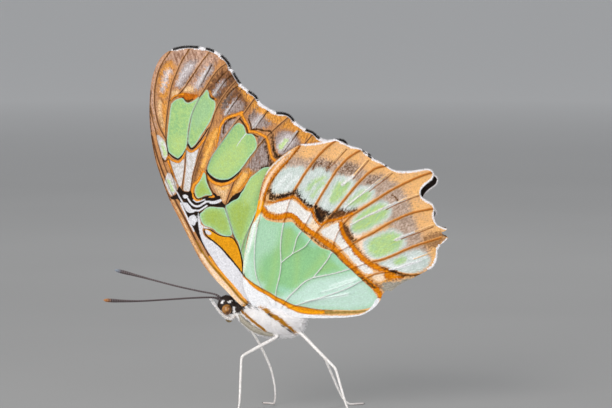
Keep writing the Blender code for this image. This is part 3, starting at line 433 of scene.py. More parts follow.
HINDWING_MARKS = [
    # Green field at the base, cool towards the costa and the orange line, paler at the tail
    ("green", 0, [259, 222, 262, 216, 267, 219.5, 275, 221.5, 284, 222, 292, 221.5, 297, 226.5,
     303, 231.5, 309, 237, 315, 242.5, 322, 247.5, 330, 250, 335, 254, 340, 259.5, 346, 265,
     352, 270, 358, 275.5, 364, 281, 370, 286.5, 374, 291, 377, 297, 374, 303, 368, 307,
     355, 308.8, 335, 308.6, 318, 307.8, 305, 305.5, 293, 303, 285, 299, 277, 295.5, 268, 290,
     258, 284.5, 250, 279, 245, 274, 245, 262, 248, 250, 252, 238, 256, 229]),
    ("ice", 0, [272, 296, 284, 294, 294, 290, 303, 284, 310, 279.5, 317, 276.5, 330, 274.5,
     345, 271.5, 352, 270, 360, 276, 370, 286, 377, 295, 374, 304, 355, 309.5, 335, 309,
     305, 306.5, 285, 300]),
    ("mint", 0, [256, 222, 262, 216, 272, 221, 281, 222, 279, 240, 272, 250, 262, 258, 256, 276,
     250, 279, 244, 274, 244, 260, 249, 244]),
    ("teal", 2.4, [284, 223.5, 292, 223.5, 298, 229, 306, 236, 314, 244]),
    ("teal", 2.2, [331, 254, 338, 261, 346, 268]),
    ("teal", 2.6, [280, 288, 288, 291, 284, 297]),
    ("ice", 2.0, [247, 258, 249, 268, 252, 278, 262, 285]),
    ("lime", 0, [283, 226, 289, 224, 295, 230, 292, 244, 289, 252, 284, 256, 282, 244]),
    ("lime", (1.2, 2.0), [258, 256, 259, 268, 262, 280]),
    ("lime", (2.0, 2.6), [275, 236, 276, 256, 272, 278, 268, 289]),
    ("lime", 1.5, [297, 252, 297, 268, 296, 282]),
    ("lime", (1.5, 3.0), [306, 276, 315, 266, 325, 255]),
    ("lime", 1.8, [322, 269, 332, 264, 342, 266]),
    ("milk", 0, [251, 225, 255, 221, 257.5, 214.5, 260, 212.5, 262.5, 215, 259, 221, 256, 231,
     254, 240, 251, 248, 248, 257, 246, 268, 243, 272, 243.8, 257, 247, 243]),
    ("fine_white", (0.8, 0.4), [255, 222, 252, 236, 248.5, 252]),
    # Windows between the veins, from the leading edge to the tail
    ("glass", 0, [272.5, 192.5, 271.8, 186, 274.5, 178.5, 279.5, 172, 286, 168, 294, 167, 302, 167,
     304, 172, 297, 184, 293.5, 189.5, 288, 191.8, 281, 193]),
    ("frost", 2.0, [277, 188, 282, 180, 290, 174]),
    ("frost", 1.2, [285, 189, 291, 182, 297, 176]),
    ("glass", 0, [297, 191, 301, 183, 306, 174, 312, 169, 320, 168, 328, 171, 331, 176, 327, 184,
     322, 192, 318, 199.5, 314, 204.5, 309, 204.5, 303, 200, 298, 195]),
    ("sage", 1.8, [308, 189, 314, 182, 324, 177]),
    ("sage", 1.4, [312, 196, 318, 188, 323, 183]),
    ("glass", 0, [320, 202, 325, 191.5, 331, 182, 336, 176, 344, 176, 353, 179, 353, 186, 348, 192,
     343, 199, 337, 206, 331, 212, 326, 212, 321, 207]),
    ("sage", 0, [329, 197, 333, 189, 338, 182, 346, 180, 350, 183, 347, 190, 341, 197, 335, 202,
     330, 202]),
    ("frost", (0.8, 0.5), [323, 208, 327, 200, 331, 192]),
    ("glass", 0, [340, 208, 346, 200, 352, 193, 358, 187, 365, 186, 372, 188, 374, 194, 369, 200,
     362, 204, 355, 207.5, 348, 211, 342, 211]),
    ("sage", 0, [348, 202, 355, 195, 362, 190, 368, 190.5, 370, 195.5, 364, 200.5, 356, 203.5,
     350, 205]),
    ("glass", 0, [350, 227, 353.5, 219, 361, 211.5, 368, 207, 376, 202.5, 384, 201, 390, 206,
     390, 213, 385.5, 219, 377, 224.5, 369, 229, 361, 232.5, 353, 232.5]),
    ("sage", 0, [352, 227, 356, 218, 363, 211, 373, 205.5, 383, 203.5, 388, 208, 385, 216.5,
     376, 223, 365, 229, 355, 231]),
    ("glass", 0, [364, 247, 364.5, 241, 369, 236.5, 376, 234, 384, 231, 392, 229, 399, 232,
     404, 237, 405, 243, 401, 248, 395, 252, 388, 255.5, 381, 258, 375, 258.3, 368, 254]),
    ("sage", 0, [368, 247, 370, 240, 377, 236, 387, 232.5, 396, 232.5, 402, 239, 399, 247.5,
     389, 253, 378, 256, 370, 252]),
    ("glass", 0, [380, 263, 388, 259, 398, 255.5, 408, 251.5, 418, 250, 426, 254, 429, 260,
     424, 267, 414, 271.5, 404, 272, 396, 270, 388, 266]),
    ("sage", 0, [394, 261, 399, 257, 404, 256, 406, 259, 402, 263, 396, 264.5]),
    ("frost", (0.6, 1.6), [386, 264, 398, 266, 412, 262.5]),
    ("frost", (1.5, 0.6), [412, 258, 420, 256, 427, 257]),
    # White band, its borders, and the orange line before it
    ("white", 0, [263.5, 205, 270, 204.5, 277, 201.5, 284, 200, 290, 198.5, 296, 201.3, 302, 206.8,
     308, 211, 313, 212, 312.5, 218, 310, 223, 305, 222.5, 299, 219.5, 295, 215, 290, 212.3,
     285, 211.8, 280, 213.2, 274, 212, 268, 209.5, 264, 208]),
    ("white", 0, [321, 229.5, 328, 226, 334, 223, 339, 222, 340.8, 228, 343, 236, 348, 243.5,
     353, 247.5, 357, 253, 361, 258, 366, 263, 370, 267, 373, 271, 366, 272.6, 361, 269,
     356, 263.5, 351, 258.5, 346, 253, 341, 247.5, 335, 241.5, 328, 237.5, 322, 234]),
    ("cream", 0, [308, 224, 311, 213, 315, 215, 318, 222, 324, 225.5, 319, 231, 312, 230,
     307, 227]),
    ("orange", 2.9, [263, 207.5, 266, 213.2, 271, 215.6, 277.5, 216.8, 283.5, 215.6, 290, 214.6,
     295, 217.2, 299.5, 222.5, 305, 227.5, 311, 231.5, 317, 235.5, 323, 240, 330, 245, 336, 249.5,
     341, 255, 346, 261, 351, 265.5, 357, 271.5, 363, 276.5, 368, 280.5, 373, 285, 377, 289,
     380, 294]),
    ("sepia", (0.4, 1.2), [296, 224, 303, 230.5, 309, 234.5, 315, 239.5, 321, 244.5, 328, 248,
     334, 251.5, 339, 257.5, 345, 263.5, 350, 268, 357, 274, 364, 280.5]),
    ("sepia", (0.8, 1.6), [359, 273, 364, 278, 369, 282.5, 374, 286]),
    ("orange", (2.1, 3.0), [340.5, 222, 342, 230, 346.5, 238.5, 351.5, 245, 356.5, 251.5,
     362.5, 257.5]),
    ("orange", 2.8, [362.5, 257.5, 369, 262.5, 377, 266.5, 385, 269, 394, 272]),
    ("dusk", (1.6, 1.0), [343.5, 225, 346, 233, 350, 239.5, 355, 246, 360.5, 252.5, 367, 258]),
    ("dusk", 0, [341, 227.5, 343, 222.5, 347, 224.5, 350.5, 230, 353.5, 236, 356, 239, 351, 241,
     345.5, 239.5, 342, 234]),
    ("peach", 0, [352, 227, 356, 232, 362, 233.5, 360, 237, 355, 237.5, 351, 233]),
    ("peach", 0, [358, 243, 361, 239, 364, 237.5, 367, 238, 366, 243, 366, 248.5, 369.5, 254.5,
     375, 258.3, 370, 259, 364, 254, 360, 248]),
    ("orange", (0.9, 1.5), [267, 201, 273, 201.8, 280, 199.6, 287, 198, 293, 196]),
    ("orange", 1.5, [293, 196, 297, 198, 302, 203.2, 307, 208, 312, 209]),
    ("smoke", 0, [268.5, 185, 271.5, 189, 273, 193, 277, 194, 283, 193, 289, 191.2, 294, 190,
     294, 194, 289, 196.6, 283, 198.3, 276, 199.3, 270.5, 199.6, 268, 193]),
    ("smoke", 2.0, [296.5, 192, 299.5, 197, 304, 202, 308.5, 205.6, 312, 205.6]),
    ("smoke", 0, [314.5, 204.5, 318.5, 206, 324, 209, 330, 211, 326, 217, 322, 223, 318, 222.5,
     315, 216, 313.5, 210]),
    ("black", (1.0, 2.0), [315.5, 207, 317.5, 213, 320, 219]),
    ("black", (1.6, 0.6), [320, 219, 325, 215, 331, 212]),
    ("black", 0.7, [271, 196, 277, 196.6, 284, 195.6, 292, 192.6]),
    ("black", (0.5, 1.0), [299, 196, 304, 201, 310, 205]),
    ("haze", 0, [318.5, 200, 321.5, 201, 326, 208, 330, 211.5, 326, 215, 321, 210, 317.5, 206]),
    ("dusk", 0, [328, 218, 332, 212.5, 339, 209, 346, 210, 352, 209.5, 357, 208.5, 351, 213.5,
     344, 216.5, 336, 219, 330, 221]),
    ("peach", 1.2, [341, 209.5, 347, 207.5, 353, 206.5]),
    ("orange", 1.5, [312.5, 210, 314, 216, 317.5, 222, 321.5, 224, 326, 221, 332, 219.5,
     338, 218.5, 345, 216, 353, 212.5]),
    ("sepia", (0.5, 1.4), [378, 264.6, 383, 266.6, 388, 268.4, 393, 270.3]),
    ("sepia", (1.4, 0.5), [393, 270.3, 399, 273, 406, 274.8, 415, 274.6, 424, 272]),
    ("black", 0.6, [391, 269.4, 394, 270.6, 397, 272.2]),
    ("orange", 0, [384, 271.6, 392, 272.4, 400, 274.4, 408, 275.6, 401, 277.4, 392, 278.4,
     385, 276.6]),
    ("amber", 0, [367, 274, 372, 277, 379, 281, 386, 281.5, 398, 279.5, 390, 277, 384, 276,
     378, 272, 370, 270]),
    ("cream", 0, [372, 272.4, 379, 271, 386, 271.2, 383, 274, 385, 278, 380, 280.6, 375, 279,
     372, 276]),
    ("pale", (0.9, 0.5), [373, 272.6, 379, 271.8, 386, 271.4]),
    ("grey", 0, [382, 282.5, 390, 280.5, 399, 279.5, 412, 276.5, 404, 284, 393, 292, 384, 290]),
    ("brown", 0, [370, 280, 376, 281, 383, 283, 384, 288, 380, 288, 374, 285]),
    # Leading edge
    ("amber", 0, [258.5, 203, 261, 188, 265.5, 175, 272, 166, 281, 158, 288, 153, 284, 160,
     277, 169, 271.5, 178, 267.5, 188, 264, 200]),
    ("peach", (1.6, 0.8), [261.5, 199, 264.5, 187, 269, 177, 276, 167, 284, 158]),
    ("cream", (0.8, 0.5), [262, 197, 265, 187, 269.5, 177]),
    ("pale", (0.7, 0.5), [260.5, 190, 265, 176, 272, 166, 281, 158, 291, 151]),
    ("gold", 0, [258.3, 200, 263.6, 201, 262.8, 207, 260.6, 212, 257.5, 216, 254.5, 220,
     253.5, 217, 255.8, 210]),
    ("glow", 0.8, [262, 196, 261.3, 202, 259.6, 208]),
    ("orange", (1.2, 0.7), [262.5, 204, 265.5, 193, 270.5, 181.5, 278, 170.5, 287, 161, 299, 147]),
    ("orange", (0.9, 0.3), [256.5, 212, 259, 199, 261.5, 187, 266, 174.5]),
    ("sepia", (1.4, 0.5), [251, 224, 253.3, 217, 256, 209]),
    ("sepia", (1.0, 0.4), [268.8, 192, 270.5, 186, 273.5, 179]),
    # Lower border of the green field and the white base
    ("fine_white", 0, [262, 313.5, 253, 305.5, 247, 295.5, 243, 285, 243, 276, 250, 283.5,
     258, 289.5, 266, 293.5, 274, 299, 283, 304, 292, 309, 302, 312.6, 320, 314, 340, 314.6,
     356, 313.5, 366, 310.5, 372, 304.5, 376, 298, 379.5, 298, 376, 306, 369, 311.5, 360, 315,
     350, 317, 320, 318, 292, 317, 276, 317]),
    ("border", 0, [243.5, 275, 250, 280, 258, 285.5, 268, 291, 277, 296, 285, 300, 293, 303.8,
     305, 306.3, 318, 308.6, 330, 309.6, 330, 312.6, 318, 312.8, 308, 313, 300, 311.6, 292, 308.2,
     284, 303.6, 275, 299, 266, 293.8, 257, 289.6, 250, 285, 243, 279]),
    ("ochre", (1.6, 1.0), [326, 311, 340, 311.2, 353, 311, 366, 309.6]),
    ("gold", (1.6, 1.0), [290, 305.5, 300, 309.5, 312, 311.5, 322, 311.8]),
    ("sepia", 0.8, [243.5, 273, 246.5, 277.5, 252, 281.7, 260, 286.5, 268, 290.6, 277, 295.8,
     285, 299.8, 293, 303.4]),
    ("sepia", 0.5, [293, 303.6, 305, 306, 318, 308.2, 332, 309.4]),
    ("black", (0.9, 0.3), [243.5, 272, 245.5, 277, 250, 281, 258, 286]),
    ("border", 0, [256, 303.5, 260, 305, 264, 308.5, 267, 312, 262, 311, 258, 308]),
    ("peach", 1.2, [377, 292, 375.5, 298, 373, 304]),
    # Clouds of brown and mauve outside the windows, and the torn corner
    ("haze", 0, [283, 163, 289, 156, 298, 157, 306, 159, 313, 157, 322, 157, 332, 161, 341, 160,
     350, 161, 358, 165, 366, 171, 373, 174, 381, 174, 389, 179, 398, 183, 403, 190, 408, 198,
     411, 206, 413, 214, 416, 222, 419, 231, 424, 240, 428, 248, 430, 256, 427, 266, 412, 271,
     398, 269, 388, 264, 398, 252, 400, 238, 392, 229, 386, 219, 386, 207, 377, 203, 370, 191,
     355, 190, 350, 180, 338, 177, 330, 176, 318, 170, 308, 171, 290, 169]),
    ("flecks", 0, [313, 162, 319, 159, 329, 163, 330, 170, 323, 170, 315, 168]),
    ("flecks", 0, [337, 168, 344, 162, 353, 162, 357, 167, 353, 174, 347, 177, 338, 176]),
    ("flecks", 0, [371, 177, 377, 175, 380, 179, 372, 183, 365, 187, 363, 184]),
    ("flecks", 0, [377, 203, 383, 200, 388, 204, 384, 206.5, 379, 206]),
    ("haze", 0, [386, 203, 398, 198, 408, 201, 410, 209, 400, 214, 390, 218]),
    ("brown", 0, [424, 236, 433, 232, 441, 232, 446, 237, 440, 244, 432, 247, 424, 245]),
    ("sepia", 0.7, [392, 194, 395.5, 197, 398, 200]),
    ("sepia", (1.2, 0.4), [313, 169, 315.5, 163]),
    ("sepia", (1.3, 0.5), [326.5, 170, 328.5, 165, 333, 160]),
    # Folds: painted highlight along each crest and painted shade in the dark foot below it
    ("pale", (0.6, 1.2), [343, 208, 352, 200.5, 360, 194.5, 368, 188.5]),
    ("pale", (1.2, 0.8), [368, 188.5, 374, 184, 380, 179]),
    ("pale", (0.6, 1.4), [350, 224.5, 360, 219, 372, 213, 384, 207.5]),
    ("pale", (1.4, 1.0), [384, 207.5, 396, 202, 406, 198]),
    ("pale", (1.8, 0.8), [396, 239.3, 404, 235.5, 414, 231.5]),
    # Painted highlight on a fold crest by the windows
    ("fine_white", (0.6, 1.1), [389, 268.4, 396, 267.3, 404, 265]),
    ("fine_white", (1.1, 0.6), [404, 265, 412, 262.5, 421, 260]),
    ("pale", 1.4, [342, 184, 348, 179, 353, 175]),
    # Painted highlight on the fold crests in the green by the tail
    ("fold_highlight_streaks", (0.8, 1.5), [306, 300, 318, 298, 332, 295.8, 347, 293]),
    ("fold_highlight_streaks", (0.6, 1.2), [322, 291, 338, 286, 352, 281]),
    ("fold_highlight_streaks", (0.4, 1.0), [330, 285, 345, 280, 356, 277]),
    # Painted highlight on the fold crests near the margin
    ("glow", 0.5, [333, 161, 339, 154, 345, 147.5]),
    ("glow", 0.5, [353, 175, 360, 167, 367, 159]),
    ("glow", 0.5, [375, 183, 383, 177, 391, 171]),
    ("glow", 0.5, [398, 201, 408, 197, 420, 193]),
    ("glow", 0.5, [415, 231, 427, 226, 434, 223.5]),
    ("glow", 0.5, [414, 258, 424, 254.5, 433, 251.5]),
    # Painted shade at the foot of each fold
    ("foot", 0.45, [328, 168, 334.5, 162.5, 340.5, 155.5, 346.5, 149]),
    ("foot", 0.45, [353, 178.5, 361, 169, 368.5, 160]),
    ("foot", 0.45, [369, 191, 378, 184, 386, 178, 392, 173]),
    ("foot", 0.45, [386, 209, 396, 204, 408, 199, 419, 195]),
    ("foot", 0.5, [401, 238.5, 410, 234.8, 421, 231, 433, 226]),
    # White edges of the two small lobes at the tail
    ("fine_white", 0.8, [436, 224, 441, 227, 446, 228.6]),
    ("fine_white", 0.6, [446.5, 238, 443, 241.6, 439.5, 245]),
    # Painted shade at the foot of a short fold near the leading edge
    ("foot", 0.35, [320, 154, 325, 147]),
]

# Trunk: px, py of the middle, half height in pixels, half width in millimetres
TRUNK_STATIONS = [
    (217.2, 306, 1.2, 0.15), (217.8, 306, 3.6, 0.4), (219, 305.7, 6.2, 0.7),
    (222, 305.4, 8.4, 0.92), (226, 305.6, 9.6, 1.0), (230, 307, 10, 1.0),
    (233, 309.2, 9.6, 0.92), (235.4, 310.4, 7.6, 0.85), (237.2, 310.6, 7.6, 1.05),
    (239.5, 311, 10, 1.5), (244, 312.5, 13.2, 1.95), (252, 314.8, 16.6, 2.3),
    (262, 317, 18.6, 2.5), (273, 318, 19, 2.5), (284, 318.5, 17.8, 2.35),
    (294, 318.2, 16.6, 2.1), (300, 316.8, 14.5, 1.75), (304, 313.5, 11, 1.4),
    (307, 310, 8.2, 1.3), (312, 308.6, 8.4, 1.45),
]
ABDOMEN_AXIS = [(312, 308.6), (318, 307.4), (330, 305.5), (344, 303.1), (358, 300.8),
                (370, 298.8), (375.5, 297.9)]
ABDOMEN_RADII = [1.45, 1.62, 1.7, 1.62, 1.3, 0.7, 0.2]
ABDOMEN_SEGMENTS = 7
HEAD_ENDS_PX = 236
THORAX_ENDS_PX = 305
# The thorax is dark above this height
DARK_ABOVE_PX = 303.5
# Least half height and half width of the trunk
THINNEST = 0.05 * MM
# Trunk hair: how many, and for each kind where it ends, its least and greatest length in
# millimetres, its lean and its drop
BODY_HAIRS = 14000
BODY_HAIR = [(HEAD_ENDS_PX, (0.22, 0.4, 0.5, -0.1)), (THORAX_ENDS_PX, (0.5, 0.95, 0.28, -0.45)),
             (400, (0.2, 0.32, 0.22, -0.1))]
# Stripes of the body, and its dark hair with painted shade between white tufts: half width in
# pixels, points
STRIPES = [
    (1.3, [(242, 311), (247, 316), (253, 321), (258, 325), (264, 329.5)]),
    (2.0, [(257, 304), (262, 307.6), (268, 312.5)]),
    (2.3, [(272, 315), (276, 317.6), (281, 321)]),
    (1.8, [(281, 321), (285, 324.4)]),
    (1.4, [(285, 324.4), (289, 327.6), (294, 331.4)]),
]
DARK_HAIR_AND_SHADE_STROKES = [
    (1.2, [(267, 313.5), (269.5, 315)]),
    (0.5, [(281, 324.6), (286, 328.6), (291, 332)]),
    (0.35, [(240.5, 314.5), (246, 319.5), (250.5, 323)]),
    # Thin strokes over the thorax: partly dark hair at the wing bases, partly painted shade
    # between white tufts
    (1.0, [(238, 299), (244, 303), (249, 307)]),
    (0.5, [(249, 301), (252, 305.5), (256, 308.5)]),
    (0.5, [(262, 301), (268, 303.5), (275, 304)]),
    (0.4, [(281, 306.5), (287, 305.5), (294, 307)]),
    (0.5, [(232, 318), (238, 319.5), (243, 322)]),
    (9.0, [(216, 300), (222, 302), (230, 305), (236, 304)]),
]
# White scales on the dark head: behind the eye, on the brow and along the cheek
WHITE_STROKES = [
    (1.1, [(233.2, 307.6), (233.8, 311), (233.3, 315.5)]),
    (1.1, [(221.4, 303.2), (222.8, 301.4)]),
    (1.1, [(228.2, 302.2), (230.4, 301.6)]),
    (1.6, [(221, 316), (227, 318.5), (236, 320)]),
]
EYE_PX = (226.7, 309.2)
EYE_MIDDLE = 0.9
EYE_RADII = (0.89, 0.95, 0.96)

# Limbs: px, py, millimetres to the left, radius in millimetres
PALP = [(235, 316, 0.55, 0.24), (232, 318.6, 0.78, 0.26), (228, 318.3, 0.82, 0.26),
        (224, 316, 0.82, 0.24), (218.5, 310.4, 0.78, 0.18), (214, 304.8, 0.72, 0.13),
        (210, 299.4, 0.66, 0.06)]
FORELEG = [(239.5, 315, 1.3, 0.3), (244, 321.6, 1.85, 0.4), (251.5, 327.6, 2.05, 0.44),
           (259.5, 331.6, 2.0, 0.4), (267, 334, 1.85, 0.3), (272.5, 334.9, 1.7, 0.14)]
ANTENNAE = {
    "left": [(221, 300.5, 0.4, 0.24), (219, 299.4, 0.5, 0.25), (213, 297.6, 0.9, 0.17),
             (195, 297.7, 1.9, 0.16), (170, 299, 3.2, 0.16), (143, 300.3, 4.5, 0.17),
             (126, 300.2, 5.3, 0.24), (116, 299.7, 5.8, 0.33), (109, 299.3, 6.1, 0.31),
             (105.8, 299.1, 6.2, 0.1)],
    "right": [(221, 299.5, -0.4, 0.24), (219, 297.6, -0.5, 0.25), (214, 294.5, -0.8, 0.17),
              (198, 291.6, -1.8, 0.16), (175, 286.8, -3.1, 0.16), (150, 280.6, -4.4, 0.17),
              (133, 276.2, -5.3, 0.24), (123, 273.7, -5.8, 0.33), (115.5, 271.9, -6.1, 0.31),
              (111.8, 271.1, -6.2, 0.1)],
}
# Where py is left out the leg lies on the floor
LEGS = {
    "midleg_left": [(267, 328, 0.9, 0.39), (272, 332.5, 1.2, 0.41), (277, 336, 1.5, 0.31),
                    (273.5, 339, 1.9, 0.33), (260, 346, 3.2, 0.34), (246.5, 353, 4.6, 0.26),
                    (243, 355.5, 5.0, 0.26), (241.8, 359.5, 5.1, 0.23), (241, 378, 5.8, 0.23),
                    (240.3, 397, 6.4, 0.21), (239.6, 404, 6.6, 0.17), (238.3, 411, 6.7, 0.17),
                    (235.5, None, 6.9, 0.17), (229.5, None, 7.2, 0.16),
                    (223, None, 7.6, 0.15)],
    "midleg_right": [(267, 328, -0.9, 0.39), (272, 332.5, -1.2, 0.41),
                     (276.5, 335.5, -1.6, 0.31), (274.5, 336.5, -2.3, 0.33),
                     (262, 333, -4.9, 0.33), (249, 328, -7.1, 0.26), (246, 328, -7.4, 0.26),
                     (248.5, 330.8, -7.5, 0.24), (259, 348, -7.8, 0.23),
                     (268.5, 368.5, -8.1, 0.21), (272, 380, -8.2, 0.17), (274, 391, -8.3, 0.17),
                     (274.6, 400.5, -8.4, 0.17), (273, None, -8.6, 0.17),
                     (268, None, -8.9, 0.16), (262, None, -9.2, 0.15)],
    "hindleg_left": [(291, 327, 0.8, 0.39), (296, 331.5, 1.1, 0.4), (301, 334, 1.3, 0.3),
                     (305, 337.5, 1.7, 0.31), (319, 351.5, 3.1, 0.29),
                     (332.5, 364.8, 4.4, 0.25), (335, 367.8, 4.7, 0.25),
                     (336.5, 371.5, 4.9, 0.23), (341, 387, 5.7, 0.22), (345.5, 402, 6.5, 0.2),
                     (348, 408.5, 6.8, 0.17), (351, 413, 7.0, 0.17), (356, None, 7.2, 0.17),
                     (363, None, 7.5, 0.16), (370, None, 7.8, 0.15)],
    "hindleg_right": [(291, 327, -0.8, 0.39), (296, 331.5, -1.1, 0.4),
                      (301, 333.5, -1.3, 0.3), (304, 336.5, -1.8, 0.31),
                      (313, 347, -3.4, 0.29), (322, 357.5, -5.0, 0.25),
                      (324.5, 360.5, -5.4, 0.25), (326.5, 364, -5.6, 0.23),
                      (332, 377, -6.4, 0.22), (338, 391, -7.1, 0.2),
                      (341.5, 399, -7.5, 0.17), (345.5, 405, -7.7, 0.17),
                      (351, None, -7.9, 0.17), (358, None, -8.2, 0.16),
                      (365, None, -8.5, 0.15)],
}
FOOT_MIDDLE = 0.2
CLAW_LENGTH = 0.42
CLEAR_OF_FLOOR = 0.01 * MM
# Antennae: the rings' spacing in millimetres, and how far they swell
RING_SPACING = 0.42
RING_SWELL = 0.07
# The rolled proboscis
COIL_PX = (229, 319.4)
COIL_ROOT_PX = (230.5, 315)
COIL_RADII = (0.6, 0.2)
COIL_TURNS = 2.2
COIL_FROM = math.radians(60)
COIL_POINTS = 40
COIL_THICKNESS = 0.15
COIL_TAPER = 0.45

# Both wings: which runs of the outline bear fringe and its depth in pixels, the inner face's
# distance from the middle, its spread at the root, the sheet's place above that face and the
# veins' height in millimetres, how far either side's wing droops, and the spans of px in which
# the fringe is black
WINGS = {
    "forewing": {
        "outline": FOREWING_OUTLINE, "veins": FOREWING_VEINS, "folds": FOREWING_FOLDS,
        "marks": FOREWING_MARKS, "fringed": [1], "fringe": 3.2, "root": FOREWING_ROOT_PX,
        "inside": 0.2, "root_spread": 0.85, "sheet_at": PLATE - SHEET, "ridge": 0.13,
        "droop": {"left": 0.0, "right": 0.0},
        "black_fringe": [(174, 200), (206.5, 215), (221.5, 231.5), (234, 241), (249, 258.5),
                         (276.5, 294.5), (306, 320), (336, 349)],
    },
    "hindwing": {
        "outline": HINDWING_OUTLINE, "veins": HINDWING_VEINS, "folds": HINDWING_FOLDS,
        "marks": HINDWING_MARKS, "fringed": [1, 2, 3, 6], "fringe": 2.1,
        "root": HINDWING_ROOT_PX, "inside": 1.15, "root_spread": 0.9, "sheet_at": 0.0,
        "ridge": 0.2, "droop": {"left": 0.0, "right": math.radians(2.2)},
        "black_fringe": [(362, 365), (368.5, 371.5), (384.5, 387)],
    },
}


def hex_colour(text):
    """Linear colour of an sRGB hex value."""
    levels = [int(text[i : i + 2], 16) / 255 for i in (0, 2, 4)]
    return (*(v / 12.92 if v <= 0.04045 else ((v + 0.055) / 1.055) ** 2.4 for v in levels), 1)


def node(tree, kind, settings=None, inputs=None, output=0):
    """Adds a shader node with its settings and its sockets set or linked. Returns one output."""
    made = tree.nodes.new(kind)
    for key, value in (settings or {}).items():
        setattr(made, key, value)
    for key, value in (inputs or {}).items():
        socket = made.inputs[key]
        if isinstance(value, bpy.types.NodeSocket):
            tree.links.new(value, socket)
        else:
            socket.default_value = value
    return made.outputs[output]


def new_material(name, roughness, specular=0.5):
    """An empty material of that name, its node tree and its shader."""
    made = bpy.data.materials.new(name)
    made.use_nodes = True
    shader = made.node_tree.nodes["Principled BSDF"]
    shader.inputs["Roughness"].default_value = roughness
    shader.inputs["Specular IOR Level"].default_value = specular
    return made, made.node_tree, shader


def in_place(px, py, left=0.0):
    """Where a pixel falls, that many millimetres to the left of the animal's middle."""
    z = (FLOOR_PX - py) * UPRIGHT_PIXEL + left * MM * math.tan(LOOK_DOWN)
    return Vector((TAIL_X + (px - TAIL_PX) * PIXEL, MIDDLE_Y - left * MM, z))


def unit(rows):
    """Rows of numbers, each scaled to a length of 1."""
    return rows / np.linalg.norm(rows, axis=1)[:, None]


def splined(padded, counts):
    """Points on a smooth curve through the padded ones, so many from each to the next."""
    made = []
    for a, b, c, d, count in zip(padded, padded[1:], padded[2:], padded[3:], counts):
        for t in np.arange(count) / count:
            made.append(0.5 * (2 * b + (c - a) * t + (2 * a - 5 * b + 4 * c - d) * t**2
                               + (3 * b - a - 3 * c + d) * t**3))
    return made


def curve(points, closed=False, step=1.3):
    """A smooth curve through the given pixels, with a point about every step pixels."""
    given = np.array(points, float)
    if closed:
        padded = np.vstack([given[-1:], given, given[:2]])
    else:
        padded = np.vstack([2 * given[0] - given[1], given, 2 * given[-1] - given[-2]])
    lengths = np.linalg.norm(np.diff(padded[1:-1], axis=0), axis=1)
    made = splined(padded, np.maximum(1, np.round(lengths / step)).astype(int))
    return np.array(made if closed else [*made, given[-1]])


def smooth_stations(stations, step):
    """More stations on a smooth curve through the given ones, at most that far apart."""
    given = np.array(stations, float)
    padded = np.vstack([2 * given[0] - given[1], given, 2 * given[-1] - given[-2]])
    lengths = np.linalg.norm(np.diff(given[:, :-1], axis=0), axis=1)
    made = splined(padded, np.maximum(1, np.ceil(lengths / step)).astype(int))
    return np.array([*made, given[-1]])


def stroke(grid, line, half_widths=(0, 0)):
    """How far inside a stroke each point lies, in pixels, negative outside it."""
    result = np.full(len(grid), -FAR_PX)
    reach = FAR_PX + max(half_widths)
    near = ((grid > line.min(0) - reach) & (grid < line.max(0) + reach)).all(1)
    if not near.any():
        return result
    starts, along = line[:-1], np.diff(line, axis=0)
    widths = np.linspace(*half_widths, len(line))
    relative = grid[near][:, None, :] - starts[None]
    share = np.clip((relative * along).sum(2) / (along**2).sum(1), 0, 1)
    distance = np.linalg.norm(relative - share[..., None] * along, axis=2)
    half = widths[:-1] + share * np.diff(widths)
    result[near] = np.maximum((half - distance).max(1), -FAR_PX)
    return result


def strokes(grid, lines):
    """How far inside any of several strokes each point lies, given their half widths."""
    return np.maximum.reduce([stroke(grid, curve(line), (half, half)) for half, line in lines])


def within(grid, ring):
    """Which points lie inside a closed outline."""
    x, y = grid.T
    inside = np.zeros(len(grid), bool)
    for (ax, ay), (bx, by) in zip(ring, np.roll(ring, -1, axis=0)):
        if ay != by:
            inside ^= ((ay > y) != (by > y)) & (x < (bx - ax) * (y - ay) / (by - ay) + ax)
    return inside


def patch(grid, ring):
    """How far inside a closed outline each point lies, in pixels, negative outside it."""
    distance = -stroke(grid, np.vstack([ring, ring[:1]]))
    return np.where(within(grid, ring), distance, -distance)


def beside(line, offset):
    """A line moved sideways by an offset."""
    along = unit(np.gradient(line, axis=0))
    return line + offset * np.stack([-along[:, 1], along[:, 0]], axis=1)


def sheet_outline(kind):
    """The wing's outline, and the membrane's: drawn in where fringe stands on it."""
    points, pulls = [], []
    for number, run in enumerate(kind["outline"]):
        line = curve(run, step=1.2)[:-1]
        points.append(line)
        pulls.append(np.full(len(line), 1.0 if number in kind["fringed"] else 0.0))
    ring, pull = np.vstack(points), np.concatenate(pulls)
    for _ in range(6):
        pull = (np.roll(pull, 1) + 2 * pull + np.roll(pull, -1)) / 4
    along = unit(np.roll(ring, -1, axis=0) - np.roll(ring, 1, axis=0))
    inwards = np.stack([-along[:, 1], along[:, 0]], axis=1)
    if ((ring.mean(0) - ring) * inwards).sum() < 0:
        inwards = -inwards
    for _ in range(3):
        inwards = unit(np.roll(inwards, 1, axis=0) + 2 * inwards + np.roll(inwards, -1, axis=0))
    return ring, ring + inwards * (pull * (kind["fringe"] - UNDER_FRINGE_PX))[:, None]


